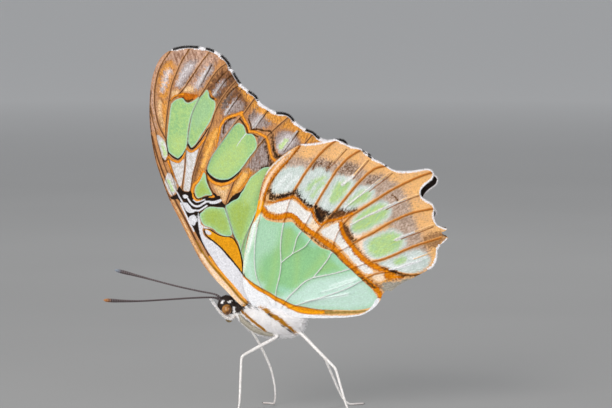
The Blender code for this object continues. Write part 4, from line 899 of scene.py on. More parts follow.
def filled(outline, lines):
    """Points and triangles that fill an outline, with edges along every given line."""
    points, edges = [tuple(p) for p in outline], []
    for line in lines:
        first = len(points)
        points += [tuple(p) for p in line]
        edges += [(i, i + 1) for i in range(first, len(points) - 1)]
    taken = {(round(x / CLEAR_PX), round(y / CLEAR_PX)) for x, y in points}
    low, high = outline.min(0), outline.max(0)
    rows = np.arange(low[1], high[1], GRID_PX * math.sqrt(0.75))
    for number, y in enumerate(rows):
        for x in np.arange(low[0] + (number % 2) * GRID_PX / 2, high[0], GRID_PX):
            if (round(x / CLEAR_PX), round(y / CLEAR_PX)) not in taken:
                points.append((x, y))
    ring = list(range(len(outline)))
    result = delaunay_2d_cdt([Vector(p) for p in points], edges, [ring], 1, MERGE_PX)
    made, triangles = np.array([tuple(p) for p in result[0]]), np.array(result[2])
    # Marks drawn over the edge close off areas outside it, which are left out
    triangles = triangles[within(made[triangles].mean(1), outline)]
    used = np.unique(triangles)
    return made[used], np.searchsorted(used, triangles).tolist()


def wing_plan(kind):
    """The flat plan of one wing: points in pixels, triangles, relief and fields of marks."""
    ring, edge = sheet_outline(kind)
    veins = [(curve(line), (first, last)) for first, last, line in kind["veins"]]
    folds = [curve(line) for line in kind["folds"]]
    lines = [beside(line, offset * VEIN_FOOT_PX)
             for line, _ in veins for offset in (-1, -0.5, 0, 0.5, 1)]
    lines += [beside(line, offset * FOLD_FOOT_PX) for line in folds for offset in (-1, 0, 1)]
    drawn = []
    for finish, half, line in kind["marks"]:
        smooth = curve(np.reshape(line, (-1, 2)), closed=half == 0)
        drawn.append((finish, half, smooth))
        lines.append(np.vstack([smooth, smooth[:1]]) if half == 0 else smooth)
    points, triangles = filled(edge, lines)

    fields = {}
    for finish, half, line in drawn:
        widths = half if isinstance(half, tuple) else (half, half)
        value = stroke(points, line, widths) if half else patch(points, line)
        fields[finish] = np.maximum(fields.get(finish, value), value)
    fields["vein"] = np.maximum.reduce([stroke(points, *vein) for vein in veins])
    fields["margin"] = np.maximum.reduce(
        [stroke(points, curve(kind["outline"][number])) for number in kind["fringed"]])
    to_vein = -np.maximum.reduce([stroke(points, line) for line, _ in veins])
    to_fold = -np.maximum.reduce([stroke(points, line) for line in folds])
    crest, hollow, fold, valley = (
        np.clip(1 - away / foot, 0, 1) for away, foot in (
            (to_vein, VEIN_FOOT_PX), (to_vein, FAR_PX), (to_fold, FOLD_FOOT_PX),
            (to_fold, VALLEY_FOOT_PX)))
    sag = 1 - hollow
    relief = {"crest": np.sin(crest * math.pi / 2), "fold": fold, "valley": valley,
              "sag": sag * sag * (3 - 2 * sag)}
    return {"points": points, "triangles": triangles, "fields": fields, "relief": relief,
            "ring": ring}


def body_spread(points):
    """1 at the trunk, falling smoothly to 0 where the closed wings lie flat together."""
    axis = np.array(BODY_AXIS_PX, float)
    best = np.full(len(points), np.inf)
    for start, end in zip(axis, axis[1:]):
        along = end - start
        share = np.clip(((points - start) * along).sum(1) / (along**2).sum(), 0, 1)
        best = np.minimum(best, np.linalg.norm(points - start - share[:, None] * along, axis=1))
    share = (best * PIXEL_MM - SPREAD_FULL_WITHIN) / (SPREAD_ENDS_AT - SPREAD_FULL_WITHIN)
    share = np.clip(share, 0, 1)
    return 1 - share * share * (3 - 2 * share)


def about_root(points, kind):
    """Points of a wing as arms from its root, and the angles at which they rise."""
    arm = points - np.array(kind["root"], float)
    return arm, np.arctan2(-arm[:, 1], arm[:, 0])


def drooped(points, kind, droop):
    """Points of a wing swung down about its root, less and less towards its lower edge."""
    arm, rise = about_root(points, kind)
    turn = droop * np.clip((rise - DROOP_ENDS_AT) / (DROOP_FULL_ABOVE - DROOP_ENDS_AT), 0, 1)
    swung_x = arm[:, 0] * np.cos(turn) - arm[:, 1] * np.sin(turn)
    swung_y = arm[:, 1] * np.cos(turn) + arm[:, 0] * np.sin(turn)
    return np.stack([swung_x, swung_y], axis=1) + np.array(kind["root"], float)


def stand(points, sideways):
    """Frame coordinates of pixels that stand that many millimetres from the middle plane."""
    x = TAIL_X + (points[:, 0] - TAIL_PX) * PIXEL
    z = (FLOOR_PX - points[:, 1]) * UPRIGHT_PIXEL
    return np.stack([x, MIDDLE_Y + sideways * MM, z], axis=1)


def select_only(made):
    """Makes one object the only selected and active one."""
    bpy.ops.object.select_all(action="DESELECT")
    made.select_set(True)
    bpy.context.view_layer.objects.active = made


def face_outwards(made):
    """Turns all faces of an object outwards."""
    select_only(made)
    bpy.ops.object.mode_set(mode="EDIT")
    bpy.ops.mesh.select_all(action="SELECT")
    bpy.ops.mesh.normals_make_consistent(inside=False)
    bpy.ops.object.mode_set(mode="OBJECT")


def new_piece(name, vertices, faces, materials, stands_for=()):
    """A mesh object from corners and faces with its finishes, riding on the body and hiding what
    it stands for.
    """
    mesh = bpy.data.meshes.new(name)
    mesh.from_pydata([tuple(v) for v in vertices], [], faces)
    for each in materials:
        mesh.materials.append(each)
    made = bpy.data.objects.new(name, mesh)
    bpy.context.scene.collection.objects.link(made)
    adopt(made, stands_for)
    return made


def adopt(made, stands_for=()):
    """Lets a finished piece ride on the body, and hides the nodes it replaces."""
    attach(made, "root")
    if stands_for:
        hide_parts(*stands_for)


def set_field(mesh, name, values):
    """Stores one number for each corner point of a mesh."""
    mesh.attributes.new(name, "FLOAT", "POINT").data.foreach_set("value", np.asarray(values))


def set_uv(mesh, name, corner_uv):
    """Stores a UV map from one place per point of the mesh."""
    index = np.empty(len(mesh.loops), int)
    mesh.loops.foreach_get("vertex_index", index)
    mesh.uv_layers.new(name=name).data.foreach_set("uv", corner_uv[index].ravel())


def wing(name, plan, kind, side, finishes, droop):
    """One wing as a thin sheet with raised veins and folds, and its fields of markings."""
    points, relief, triangles = plan["points"], plan["relief"], plan["triangles"]
    count = len(points)
    near = kind["inside"] + kind["root_spread"] * body_spread(points) + kind["sheet_at"]
    wave = HOLLOW * relief["sag"] - DIP * relief["valley"]
    ridge = kind["ridge"]
    outer = near + SHEET - wave + ridge * relief["crest"] + FOLD_CREST * relief["fold"]
    inner = near - wave - UPPER_RIDGE_SHARE * ridge * relief["crest"]
    settled = drooped(points, kind, droop)
    vertices = np.vstack([stand(settled, side * outer), stand(settled, side * inner)])
    faces = [tuple(t) for t in triangles]
    faces += [tuple(i + count for i in reversed(t)) for t in triangles]
    borders = {}
    for triangle in triangles:
        for a, b in zip(triangle, (*triangle[1:], triangle[0])):
            borders[frozenset((a, b))] = None if frozenset((a, b)) in borders else (a, b)
    faces += [(b, a, a + count, b + count) for a, b in filter(None, borders.values())]
    made = new_piece(name, vertices, faces, finishes, [name.replace("_sheet", "")])
    mesh = made.data
    slots = np.zeros(len(faces), int)
    slots[len(triangles) : 2 * len(triangles)] = 1
    mesh.polygons.foreach_set("material_index", slots)
    for field, values in plan["fields"].items():
        set_field(mesh, field, np.tile(values * PIXEL_MM, 2))
    arm, rise = about_root(points, kind)
    rays = np.stack([rise, np.linalg.norm(arm, axis=1) / 100], 1)
    set_uv(mesh, "Rays", np.tile(rays, (2, 1)))
    # The bake map holds both faces: side by side on the tall forewing, else one over the other
    low, extent = points.min(0), np.ptp(points, axis=0)
    tall = extent[1] > extent[0]
    flat = 0.01 + (points - low) / (extent.max() * 1.03) * (0.62 if tall else 0.49)
    shift = np.array([0.5, 0]) if tall else np.array([0, 0.5])
    set_uv(mesh, "OFBake", np.vstack([flat, flat + shift]))
    face_outwards(made)
    mesh.shade_smooth()
    mesh.set_sharp_from_angle(angle=SHARP_ABOVE)


def strands(name, roots, along, up, lengths, widths, flatness, bend, finish, spots,
            values):
    """Solid hairs or fringe scales in one mesh: three-sided, bent in the middle, pointed.

    spots are the roots' places on the bake map, and values the fields stored for each root.
    """
    roots, along, up, lengths, widths, spots = (
        np.asarray(a, float) for a in (roots, along, up, lengths, widths, spots))
    along = unit(along)
    across = unit(np.cross(along, up))
    up = np.cross(across, along)
    lengths, widths = lengths[:, None], widths[:, None]
    # Three corners round the root, three round the bend, and the tip
    rows = []
    for share, wide, lift in ((0.0, 1.0, 0.0), (0.6, 0.9, 1.0)):
        middle = roots + along * lengths * share + up * lengths * bend * lift
        for k in range(3):
            angle = 2 * math.pi * k / 3
            rows.append(middle + widths * wide * (across * math.cos(angle)
                                                  + up * math.sin(angle) * flatness))
    rows.append(roots + along * lengths)
    vertices = np.stack(rows, axis=1).reshape(-1, 3)
    pattern = [(2, 1, 0), (0, 1, 4, 3), (1, 2, 5, 4), (2, 0, 3, 5), (3, 4, 6), (4, 5, 6),
               (5, 3, 6)]
    faces = [tuple(7 * i + j for j in face) for i in range(len(roots)) for face in pattern]
    made = new_piece(name, vertices, faces, [finish])
    for field, value in values.items():
        value = np.asarray(value, float)
        set_field(made.data, field, value.ravel() if value.ndim > 1 else np.repeat(value, 7))
    tile = np.array([(0, 0), (1, 0), (2, 0), (0, 1), (1, 1), (2, 1), (1, 2)]) * 0.0012
    set_uv(made.data, "OFBake", (spots[:, None, :] + tile[None]).reshape(-1, 2))


def fringe(name, plan, kind, side, finish, droop, chance):
    """Rows of fringe scales along the free edge of one wing."""
    roots, along, lengths, widths, dark, spots = [], [], [], [], [], []
    low, extent = plan["ring"].min(0), np.ptp(plan["ring"], axis=0).max() * 1.1
    for number in kind["fringed"]:
        line = curve(kind["outline"][number], step=0.3)
        tangent = unit(np.gradient(line, axis=0))
        outward = np.stack([tangent[:, 1], -tangent[:, 0]], axis=1)
        if ((line - plan["ring"].mean(0)) * outward).sum() < 0:
            outward = -outward
        for i, on_edge in enumerate(line):
            for row_reach in FRINGE_ROWS_PX:
                place = on_edge - outward[i] * (kind["fringe"] + ROOTED_PX)
                turn = chance.uniform(-0.22, 0.22)
                way = outward[i] * math.cos(turn) + tangent[i] * math.sin(turn)
                roots.append((*place, chance.uniform(-0.05, 0.05)))
                along.append(way)
                x = on_edge[0] + chance.uniform(-0.8, 0.8)
                dark.append(any(a < x < b for a, b in kind["black_fringe"]))
                reach = kind["fringe"] + row_reach
                reach += chance.uniform(-FRINGE_VARIES_PX, FRINGE_VARIES_PX)
                reach += BLACK_ADDS_PX * dark[-1]
                inner = SHORT_AT_ENDS <= i < len(line) - SHORT_AT_ENDS
                lengths.append(reach if inner else reach * SHORT_SHARE)
                widths.append(chance.uniform(*FRINGE_WIDTHS_PX))
                spots.append((place - low) / extent * 0.98 + 0.005)
    roots = np.array(roots)
    pixels = drooped(roots[:, :2], kind, droop)
    tips = drooped(roots[:, :2] + np.array(along), kind, droop)
    sideways = kind["inside"] + kind["sheet_at"] + SHEET / 2 + roots[:, 2]
    place = stand(pixels, side * sideways)
    towards = stand(tips, side * sideways) - place
    up = np.tile([0.0, side, 0.0], (len(place), 1))
    strands(name, place, towards, up, np.array(lengths) * PIXEL, np.array(widths) * PIXEL,
            0.35, 0.02, finish, spots,
            {"dark": np.outer(dark, (0, 0.1, 0.8, 0.9, 0.9, 0.9, 1))})


def wing_finish(name, ground, layers, roughness=0.6):
    """Overlapping wing scales, matt: one coloured layer over another.

    Each layer is a field of the mesh, its colours, how soft its edge is and how ragged, in
    millimetres. Real scales are 0.1 mm long in rows, so edges are ragged at that size.
    """
    made, tree, shader = new_material(name, roughness, 0.08)
    spot = node(tree, "ShaderNodeTexCoord", output="Object")
    rays = node(tree, "ShaderNodeUVMap", {"uv_map": "Rays"})
    broad_rays, fine_rays = (
        node(tree, "ShaderNodeMapping", None, {"Vector": rays, "Scale": scale})
        for scale in ((110, 9, 1), (260, 45, 1)))
    # Scale edges: a grain of 0.15 mm, clumps of 0.4 mm, clouds of 2 mm, and single dark scales
    # 0.25 mm across. Streaks along the veins are about 0.4 mm wide and 2 mm long, or finer
    grain, clump, cloud, speck, streak, fine_streak = (
        node(tree, "ShaderNodeTexNoise", None,
             {"Vector": place, "Scale": scale, "Detail": detail, "Roughness": rough})
        for place, scale, detail, rough in (
            (spot, 6500, 1, 0.5), (spot, 2600, 2, 0.5), (spot, 450, 4, 0.6),
            (spot, 4200, 2, 0.5), (broad_rays, 1, 3, 0.6), (fine_rays, 1, 3, 0.6)))
    rag = node(tree, "ShaderNodeMath", {"operation": "ADD"}, {0: clump, 1: fine_streak})
    rag = node(tree, "ShaderNodeMath", {"operation": "ADD"}, {0: rag, 1: streak})
    rag = node(tree, "ShaderNodeMath", {"operation": "MULTIPLY_ADD"}, {0: rag, 1: 3.6, 2: -5.4})

    def mask(field, soft, ragged, offset=0.0):
        """1 inside the marks of a field, more than the offset deep, and 0 outside them."""
        value = node(tree, "ShaderNodeAttribute", {"attribute_name": field}, None, "Fac")
        moved = node(tree, "ShaderNodeMath", {"operation": "MULTIPLY_ADD"},
                     {0: rag, 1: ragged, 2: value})
        return node(tree, "ShaderNodeMapRange", {"interpolation_type": "SMOOTHSTEP"},
                    {"Value": moved, "From Min": offset - soft, "From Max": offset + soft})

    green = mask("green", 0.1, 0.05)
    mingled = node(tree, "ShaderNodeMath", {"operation": "ADD"}, {0: streak, 1: clump})
    clouded, varied, combed, off_veins, specked, calm, grainy, brushed = (
        node(tree, "ShaderNodeMapRange", None,
             {"Value": value, "From Min": low, "From Max": high, "To Min": least, "To Max": most})
        for value, low, high, least, most in (
            (cloud, 0.42, 0.66, 0, 0.6), (mingled, 0.84, 1.16, 0, 1),
            (streak, 0.36, 0.64, 0, 1), (mask("vein", 0.06, 0.03, 0.07), 0, 1, 1, 0.35),
            (speck, 0.42, 0.58, 0, 1), (green, 0, 1, 1, 0.65),
            (grain, 0.3, 0.7, -0.16, 0.14), (fine_streak, 0.3, 0.7, -0.2, 0.16)))
    # What lies over the ground colour: the factors of its cover, and its colour
    laid = [([mask("margin", 2.4, 1.2, -2.6)], hex_colour(ground[1])),
            ([clouded], hex_colour(ground[2]))]
    for field, hexes, soft, ragged in layers:
        tones = [hex_colour(tone) for tone in hexes]
        if field == "warm_veins":
            laid.append(([mask("vein", 0.16, 0.1, -0.08)], tones[1]))
            laid.append(([mask("vein", soft, ragged)], tones[0]))
        elif field == "cool_veins":
            laid.append(([mask("vein", soft, ragged, 0.04), green], tones[0]))
        elif field in SCATTERED:
            value, most = (speck, 0.6) if field == "pepper" else (streak, 0.7)
            share = node(tree, "ShaderNodeMapRange", None,
                         {"Value": value, "From Min": soft, "From Max": ragged, "To Max": most})
            laid.append(([share], tones[0]))
        else:
            blend = combed if field in COMBED else varied
            tone = node(tree, "ShaderNodeMix", {"data_type": "RGBA"},
                        {0: blend, 6: tones[0], 7: tones[1]}, 2)
            if len(tones) == 3:
                rim = 0.17 if field == "green" else 0.1
                tone = node(tree, "ShaderNodeMix", {"data_type": "RGBA"},
                            {0: mask(field, rim, 0.08, rim), 6: tones[2], 7: tone}, 2)
            shares = [mask(field, soft, ragged, -0.2 if field == "glass" else 0.0)]
            if field == "white":
                shares.append(off_veins)
            if field in WITHIN_GREEN:
                shares.append(green)
            if field == "flecks":
                shares.append(specked)
            laid.append((shares, tone))
    colour = hex_colour(ground[0])
    for (share, *others), tone in laid:
        for other in others:
            share = node(tree, "ShaderNodeMath", {"operation": "MULTIPLY"}, {0: share, 1: other})
        colour = node(tree, "ShaderNodeMix", {"data_type": "RGBA"},
                      {0: share, 6: colour, 7: tone}, 2)
    # The grain shows less on the smooth green cells
    lightness = node(tree, "ShaderNodeMath", {"operation": "ADD"}, {0: grainy, 1: brushed})
    lightness = node(tree, "ShaderNodeMath", {"operation": "MULTIPLY_ADD"},
                     {0: lightness, 1: calm, 2: 1.0})
    scaled = node(tree, "ShaderNodeVectorMath", {"operation": "SCALE"},
                  {0: colour, "Scale": lightness})
    tree.links.new(scaled, shader.inputs["Base Color"])
    bump = node(tree, "ShaderNodeBump", None,
                {"Strength": 0.5, "Distance": 0.00003, "Height": streak})
    bump = node(tree, "ShaderNodeBump", None,
                {"Strength": 0.45, "Distance": 0.00002, "Height": grain, "Normal": bump})
    tree.links.new(bump, shader.inputs["Normal"])
    return made


def fibre_finish(name, layers, base, roughness, sheen):
    """Hair or scales that each have one colour: base, and a colour for each raised field."""
    made, tree, shader = new_material(name, roughness, 0.3)
    place = node(tree, "ShaderNodeTexCoord", output="Object")
    vary = node(tree, "ShaderNodeTexNoise", None, {"Vector": place, "Scale": 3000})
    colour = node(tree, "ShaderNodeMix", {"data_type": "RGBA"},
                  {0: vary, 6: hex_colour(base[0]), 7: hex_colour(base[1])}, 2)
    for field, tone in layers:
        value = node(tree, "ShaderNodeAttribute", {"attribute_name": field}, None, "Fac")
        share = node(tree, "ShaderNodeMapRange", None,
                     {"Value": value, "From Min": 0.3, "From Max": 0.7})
        colour = node(tree, "ShaderNodeMix", {"data_type": "RGBA"},
                      {0: share, 6: colour, 7: hex_colour(tone)}, 2)
    tree.links.new(colour, shader.inputs["Base Color"])
    shader.inputs["Sheen Weight"].default_value = sheen
    return made


# Layers that never reach beyond the green cells
WITHIN_GREEN = ("olive", "lime", "mint", "teal", "ice", "fold_highlight_streaks")
# Layers whose two colours lie in streaks along the veins
COMBED = ("sage", "glass", "frost", "ice", "teal", "mint")
# Layers of single dark scales or streaks everywhere: their numbers are levels of noise
SCATTERED = ("pepper", "hatch")
# Underside scales from the lowest layer up: field, colour, streak colour and rim, softness and
# raggedness in millimetres
FOREWING_LAYERS = [
    ("tan", ("CAA793", "AE8B77"), 0.6, 0.35),
    ("brown", ("8C6040", "523826"), 0.4, 0.5),
    ("haze", ("A89B98", "827068"), 0.35, 0.3),
    ("amber", ("E2A04C", "C88434"), 0.35, 0.4),
    ("cream", ("E8C59A", "D4A870"), 0.25, 0.2),
    ("peach", ("ECC498", "DCA668"), 0.1, 0.08),
    ("hatch", ("754A30",), 0.52, 0.66),
    ("pepper", ("6E4A34",), 0.56, 0.7),
    ("dusk", ("85736C", "5E4E46"), 0.2, 0.25),
    ("pale", ("DCD8DB", "AFA4A4"), 0.5, 0.45),
    ("warm_veins", ("5E3A24", "BE8C5A"), 0.08, 0.03),
    # white: white scales, and painted highlight along the crests of the folds near the margin
    ("white", ("D8D8DA", "C0BAB4"), 0.1, 0.06),
    ("sage", ("C0D49A", "AECB8C"), 0.25, 0.2),
    ("smoke", ("4A2E12", "2A1A0E"), 0.25, 0.25),
    ("rust", ("C46A0C", "9C520A"), 0.08, 0.1),
    ("glow", ("F2BE6A", "E2A44C"), 0.3, 0.15),
    ("orange", ("F0A038", "E08A1C", "A86414"), 0.09, 0.05),
    # sepia: dark brown lines, and painted shade beside the folds near the margin
    ("sepia", ("5E3814", "40260E"), 0.1, 0.05),
    ("black", ("1A110C", "261810"), 0.06, 0.03),
    ("green", ("A4C57E", "90BA7E", "A2CAB2"), 0.06, 0.025),
    ("olive", ("9CB454", "9CB866"), 0.5, 0.3),
    ("lime", ("AEC878", "A6C684"), 0.7, 0.3),
    ("mint", ("9EC28C", "94BC8A"), 0.7, 0.3),
    ("cool_veins", ("9A9890",), 0.07, 0.03),
    ("gold", ("E29C14", "D28C0E"), 0.05, 0.03),
    ("ivory", ("F8DCC4", "E6C090"), 0.25, 0.15),
    ("fine_white", ("DEDEE3", "D0D0D6"), 0.07, 0.03),
    ("bright", ("F2A838", "E09024"), 0.12, 0.06),
    ("ochre", ("AC7C16", "94680F"), 0.1, 0.05),
    ("ink", ("3A2412", "1E120A"), 0.06, 0.04),
]
HINDWING_LAYERS = [
    ("haze", ("C6B0A1", "9C8472"), 0.7, 0.5),
    ("flecks", ("7A5E4B", "5C4434"), 0.7, 0.5),
    ("brown", ("AE8258", "8A6442"), 0.4, 0.4),
    ("amber", ("DE9A3A", "CF8A2C"), 0.3, 0.3),
    ("pepper", ("85583A",), 0.56, 0.74),
    ("peach", ("F5DAC4", "ECC4A0"), 0.25, 0.12),
    ("cream", ("F0DCC4", "E6C8A6"), 0.25, 0.12),
    ("grey", ("A39E94", "8C867A"), 0.3, 0.3),
    ("glass", ("D2DAD8", "B6C4BE"), 0.45, 0.22),
    ("sage", ("B8D07E", "9EC496"), 0.5, 0.28),
    ("frost", ("E2E6E6", "D4DCDA"), 0.35, 0.15),
    # pale: pale scales, and painted highlight along the crests of the folds
    ("pale", ("E4E4E2", "C8C6C4"), 0.14, 0.12),
    # foot: painted shade along the low side of each fold
    ("foot", ("9A6230", "7E4C22"), 0.09, 0.02),
    ("warm_veins", ("B06A2A", "D8A05C"), 0.12, 0.04),
    ("white", ("E8E6E4", "D8D4CE"), 0.16, 0.16),
    ("dusk", ("744A28", "4C2F18"), 0.35, 0.45),
    ("smoke", ("4E3018", "26160C"), 0.3, 0.4),
    ("orange", ("DC8400", "BA6400", "924C00"), 0.15, 0.2),
    ("sepia", ("7A4812", "54320F"), 0.22, 0.2),
    ("black", ("1A110C", "261810"), 0.14, 0.14),
    ("green", ("8CC088", "84B884", "A0CCA8"), 0.08, 0.05),
    ("lime", ("90BC78", "96C080"), 1.0, 0.2),
    ("mint", ("ABD0B4", "9CC8A6"), 1.2, 0.2),
    ("teal", ("98CAAC", "9CCCB4"), 0.8, 0.15),
    ("ice", ("C0DAD0", "B4D4C2"), 1.0, 0.3),
    ("milk", ("DEECDE", "C6E0CC"), 0.3, 0.15),
    # Painted highlight along the fold crests in the green by the tail
    ("fold_highlight_streaks", ("E2EEEA", "D4E6E0"), 0.3, 0.12),
    ("cool_veins", ("D4D2D4",), 0.08, 0.03),
    ("border", ("E8960C", "D28008", "A8640C"), 0.08, 0.05),
    ("ochre", ("A58A48", "96783C"), 0.12, 0.08),
    ("gold", ("F6A60C", "EA9A0A"), 0.2, 0.08),
    # glow: painted highlight on the fold crests near the margin, and a warm line at the leading
    # edge
    ("glow", ("F4CC96", "E8B87C"), 0.1, 0.05),
    # fine_white: fine white scales, and painted highlight along one fold by the windows
    ("fine_white", ("EDEDF0", "DFE1E5"), 0.09, 0.06),
]
# Upper sides: black-brown scales with the same green windows
FOREWING_UPPER = [("white", ("B9D08C", "A9C47C"), 0.08, 0.06),
                  ("green", ("A8C878", "98BC6C", "7FA45C"), 0.08, 0.06)]
HINDWING_UPPER = [("glass", ("A8C878", "98BC6C"), 0.1, 0.06),
                  ("green", ("A8C878", "98BC6C", "7FA45C"), 0.08, 0.06)]


def make_wings():
    """Both pairs of wings, with their fringes."""
    plans = {wing_name: wing_plan(kind) for wing_name, kind in WINGS.items()}
    # Undersides: matt scales in many colours. Upper sides: black-brown scales, a little glossier
    dark = ("2A1E18", "241A15", "1C1410")
    finishes = {
        "forewing": [wing_finish("forewing_underside_scales", ("CC945C", "BE8654", "A8795E"),
                                 FOREWING_LAYERS),
                     wing_finish("forewing_upperside_scales", dark, FOREWING_UPPER, 0.55)],
        "hindwing": [wing_finish("hindwing_underside_scales", ("DCB088", "EAB472", "D2A680"),
                                 HINDWING_LAYERS),
                     wing_finish("hindwing_upperside_scales", dark, HINDWING_UPPER, 0.55)],
    }
    # Fringe: white hair-like scales that catch the light, with spans of black ones
    fringe_scales = fibre_finish("fringe_scales", [("dark", "17100F")], ("FBFAFC", "F0EEF2"),
                                 0.7, 0.0)
    chance = random.Random(7)
    for side, word in SIDES:
        for wing_name, kind in WINGS.items():
            wing(f"{wing_name}_{word}_sheet", plans[wing_name], kind, side,
                 finishes[wing_name], kind["droop"][word])
        for wing_name, kind in WINGS.items():
            fringe(f"{wing_name}_{word}_fringe", plans[wing_name], kind, side, fringe_scales,
                   kind["droop"][word], chance)


def trunk_rings():
    """Head, neck, thorax and ringed abdomen as rows of x, z, half height and half width."""
    front = smooth_stations(TRUNK_STATIONS, 2.5)[:-1]
    rings = [(px, py, half * PIXEL, wide * MM) for px, py, half, wide in front]
    axis = curve(ABDOMEN_AXIS, step=1.5)
    radii = np.interp(axis[:, 0], [p[0] for p in ABDOMEN_AXIS], ABDOMEN_RADII)
    span = axis[-1, 0] - axis[0, 0]
    for (px, py), radius in zip(axis, radii):
        # Each segment is narrowest at its front edge
        phase = (px - axis[0, 0]) / span * ABDOMEN_SEGMENTS % 1
        swell = 1 - 0.09 * math.exp(-phase * 9) - 0.03 * (1 - phase)
        rings.append((px, py, radius * swell * MM, radius * swell * MM))
    made = []
    for px, py, high, wide in rings:
        spot = in_place(px, py)
        made.append((spot.x, spot.z, max(high, THINNEST), max(wide, THINNEST)))
    return made


def trunk_skin(rings, finish):
    """The trunk's skin, drawn out ring by ring from a circle at the front of the head."""
    bpy.ops.object.select_all(action="DESELECT")
    x, z, high, wide = rings[0]
    bpy.ops.mesh.primitive_circle_add(vertices=40, radius=1, location=(x, MIDDLE_Y, z),
                                      rotation=(0, math.pi / 2, 0))
    made = bpy.context.object
    made.name = "body_skin"
    bpy.ops.object.transform_apply()
    bpy.ops.object.mode_set(mode="EDIT")
    bpy.ops.mesh.select_all(action="SELECT")
    bpy.ops.transform.resize(value=(1, wide, high), center_override=(x, MIDDLE_Y, z))
    bpy.ops.mesh.edge_face_add()
    for before, now in zip(rings, rings[1:]):
        move = (now[0] - before[0], 0, now[1] - before[1])
        bpy.ops.mesh.extrude_region_move(TRANSFORM_OT_translate={"value": move})
        bpy.ops.transform.resize(value=(1, now[3] / before[3], now[2] / before[2]),
                                 center_override=(now[0], MIDDLE_Y, now[1]))
    bpy.ops.object.mode_set(mode="OBJECT")
    face_outwards(made)
    bpy.ops.object.shade_smooth()
    made.data.materials.append(finish)
    for field, values in body_colours(np.array([v.co for v in made.data.vertices])).items():
        set_field(made.data, field, values)
    adopt(made, ("head", "thorax", "abdomen"))


def body_colours(places):
    """Fields of the trunk's colours: 1 in black-brown hair, in painted shade between tufts and on
    orange stripes, else 0.
    """
    # Both sides take the colours of the left one, at the pixels where it is seen
    height = places[:, 2] - np.abs(places[:, 1] - MIDDLE_Y) * math.tan(LOOK_DOWN)
    px = TAIL_PX + (places[:, 0] - TAIL_X) / PIXEL
    pixels = np.stack([px, FLOOR_PX - height / UPRIGHT_PIXEL], axis=1)
    side = np.minimum(strokes(pixels, DARK_HAIR_AND_SHADE_STROKES), -strokes(pixels, WHITE_STROKES))
    # The back is dark above one height, and so is the abdomen above its middle
    back = (places[:, 2] - in_place(0, DARK_ABOVE_PX).z) / (1.5 * MM)
    back = np.where(px > HEAD_ENDS_PX + 4, back, -1)
    axis_z = np.interp(px, [p[0] for p in ABDOMEN_AXIS], [in_place(*p).z for p in ABDOMEN_AXIS])
    back = np.where(px > THORAX_ENDS_PX, (places[:, 2] - axis_z) / MM - 0.3, back)
    return {"orange": np.clip(strokes(pixels, STRIPES) + 0.5, 0, 1),
            "dark": np.clip(np.maximum(side, back) + 0.5, 0, 1)}


def hair_spot(angle, share):
    """A hair's place on the bake map: across by its angle round a limb, up along the limb."""
    return 0.01 + 0.97 * angle / (2 * math.pi), 0.01 + 0.97 * share


def body_fur(rings, finish, chance):
    """Hair and scales of the trunk: roots spread over the rings, lying backwards and down."""
    table = np.array(rings)
    starts, ends = table[:-1], table[1:]
    length = np.hypot(ends[:, 0] - starts[:, 0], ends[:, 1] - starts[:, 1])
    area = length * (starts[:, 2] + starts[:, 3])
    total = np.cumsum(area) / area.sum()
    kinds = [(in_place(px, 0).x, hair) for px, hair in BODY_HAIR]
    roots, ways, ups, lengths, widths, spots = [], [], [], [], [], []
    for _ in range(BODY_HAIRS):
        pick = int(np.searchsorted(total, chance.random()))
        share = chance.random()
        x, z, high, wide = starts[pick] + (ends[pick] - starts[pick]) * share
        angle = chance.uniform(0, 2 * math.pi)
        normal = np.array([0, math.sin(angle) / wide, math.cos(angle) / high])
        normal /= np.linalg.norm(normal)
        slope = (ends[pick][2] - starts[pick][2]) / max(length[pick], 1e-6)
        normal[0] = -np.clip(slope, -1.2, 1.2)
        normal /= np.linalg.norm(normal)
        root = np.array([x, MIDDLE_Y + wide * math.sin(angle), z + high * math.cos(angle)])
        shortest, longest, lean, drop = next(hair for end_x, hair in kinds if x < end_x)
        size = chance.uniform(shortest, longest)
        way = np.array([1.0, 0, drop]) + lean * normal
        way += np.array([chance.gauss(0, 0.2) for _ in range(3)])
        way -= normal * min(0.0, float(way @ normal) - lean)
        roots.append(root - normal * 0.03 * MM)
        ways.append(way)
        ups.append(normal)
        lengths.append(size * MM)
        widths.append(chance.uniform(0.03, 0.05) * MM)
        spots.append(hair_spot(angle, (pick + share) / len(length)))
    strands("body_fur", roots, ways, ups, lengths, widths, 0.6, 0.08, finish, spots,
            body_colours(np.array(roots)))


def tube(name, stations, finish, node_name, step=0.3, sides=4, ring_spacing=None):
    """A tapering limb: a round curve through stations of place and radius, made a mesh."""
    path = smooth_stations(stations, step * MM)
    path[:, 2] = np.maximum(path[:, 2], path[:, 3] + CLEAR_OF_FLOOR)
    steps = np.linalg.norm(np.diff(path[:, :3], axis=0), axis=1)
    travelled = np.concatenate([[0], np.cumsum(steps)]) / MM
    if ring_spacing:
        path[:, 3] *= 1 + RING_SWELL * np.cos(2 * math.pi * travelled / ring_spacing)
    line = bpy.data.curves.new(name, "CURVE")
    line.dimensions = "3D"
    line.bevel_depth = 1.0
    line.bevel_resolution = sides
    line.use_fill_caps = True
    spline = line.splines.new("POLY")
    spline.points.add(len(path) - 1)
    for point, (x, y, z, radius) in zip(spline.points, path):
        point.co = (x, y, z, 1)
        point.radius = radius
    made = bpy.data.objects.new(name, line)
    bpy.context.scene.collection.objects.link(made)
    select_only(made)
    bpy.ops.object.convert(target="MESH")
    made = bpy.context.object
    face_outwards(made)
    bpy.ops.object.shade_smooth()
    made.data.materials.clear()
    made.data.materials.append(finish)
    corners = np.array([v.co for v in made.data.vertices])
    nearest = np.argmin(((corners[:, None] - path[None, :, :3]) ** 2).sum(2), axis=1)
    set_field(made.data, "travel", travelled[nearest])
    set_field(made.data, "share", nearest / (len(path) - 1))
    adopt(made, (node_name,))
    return path


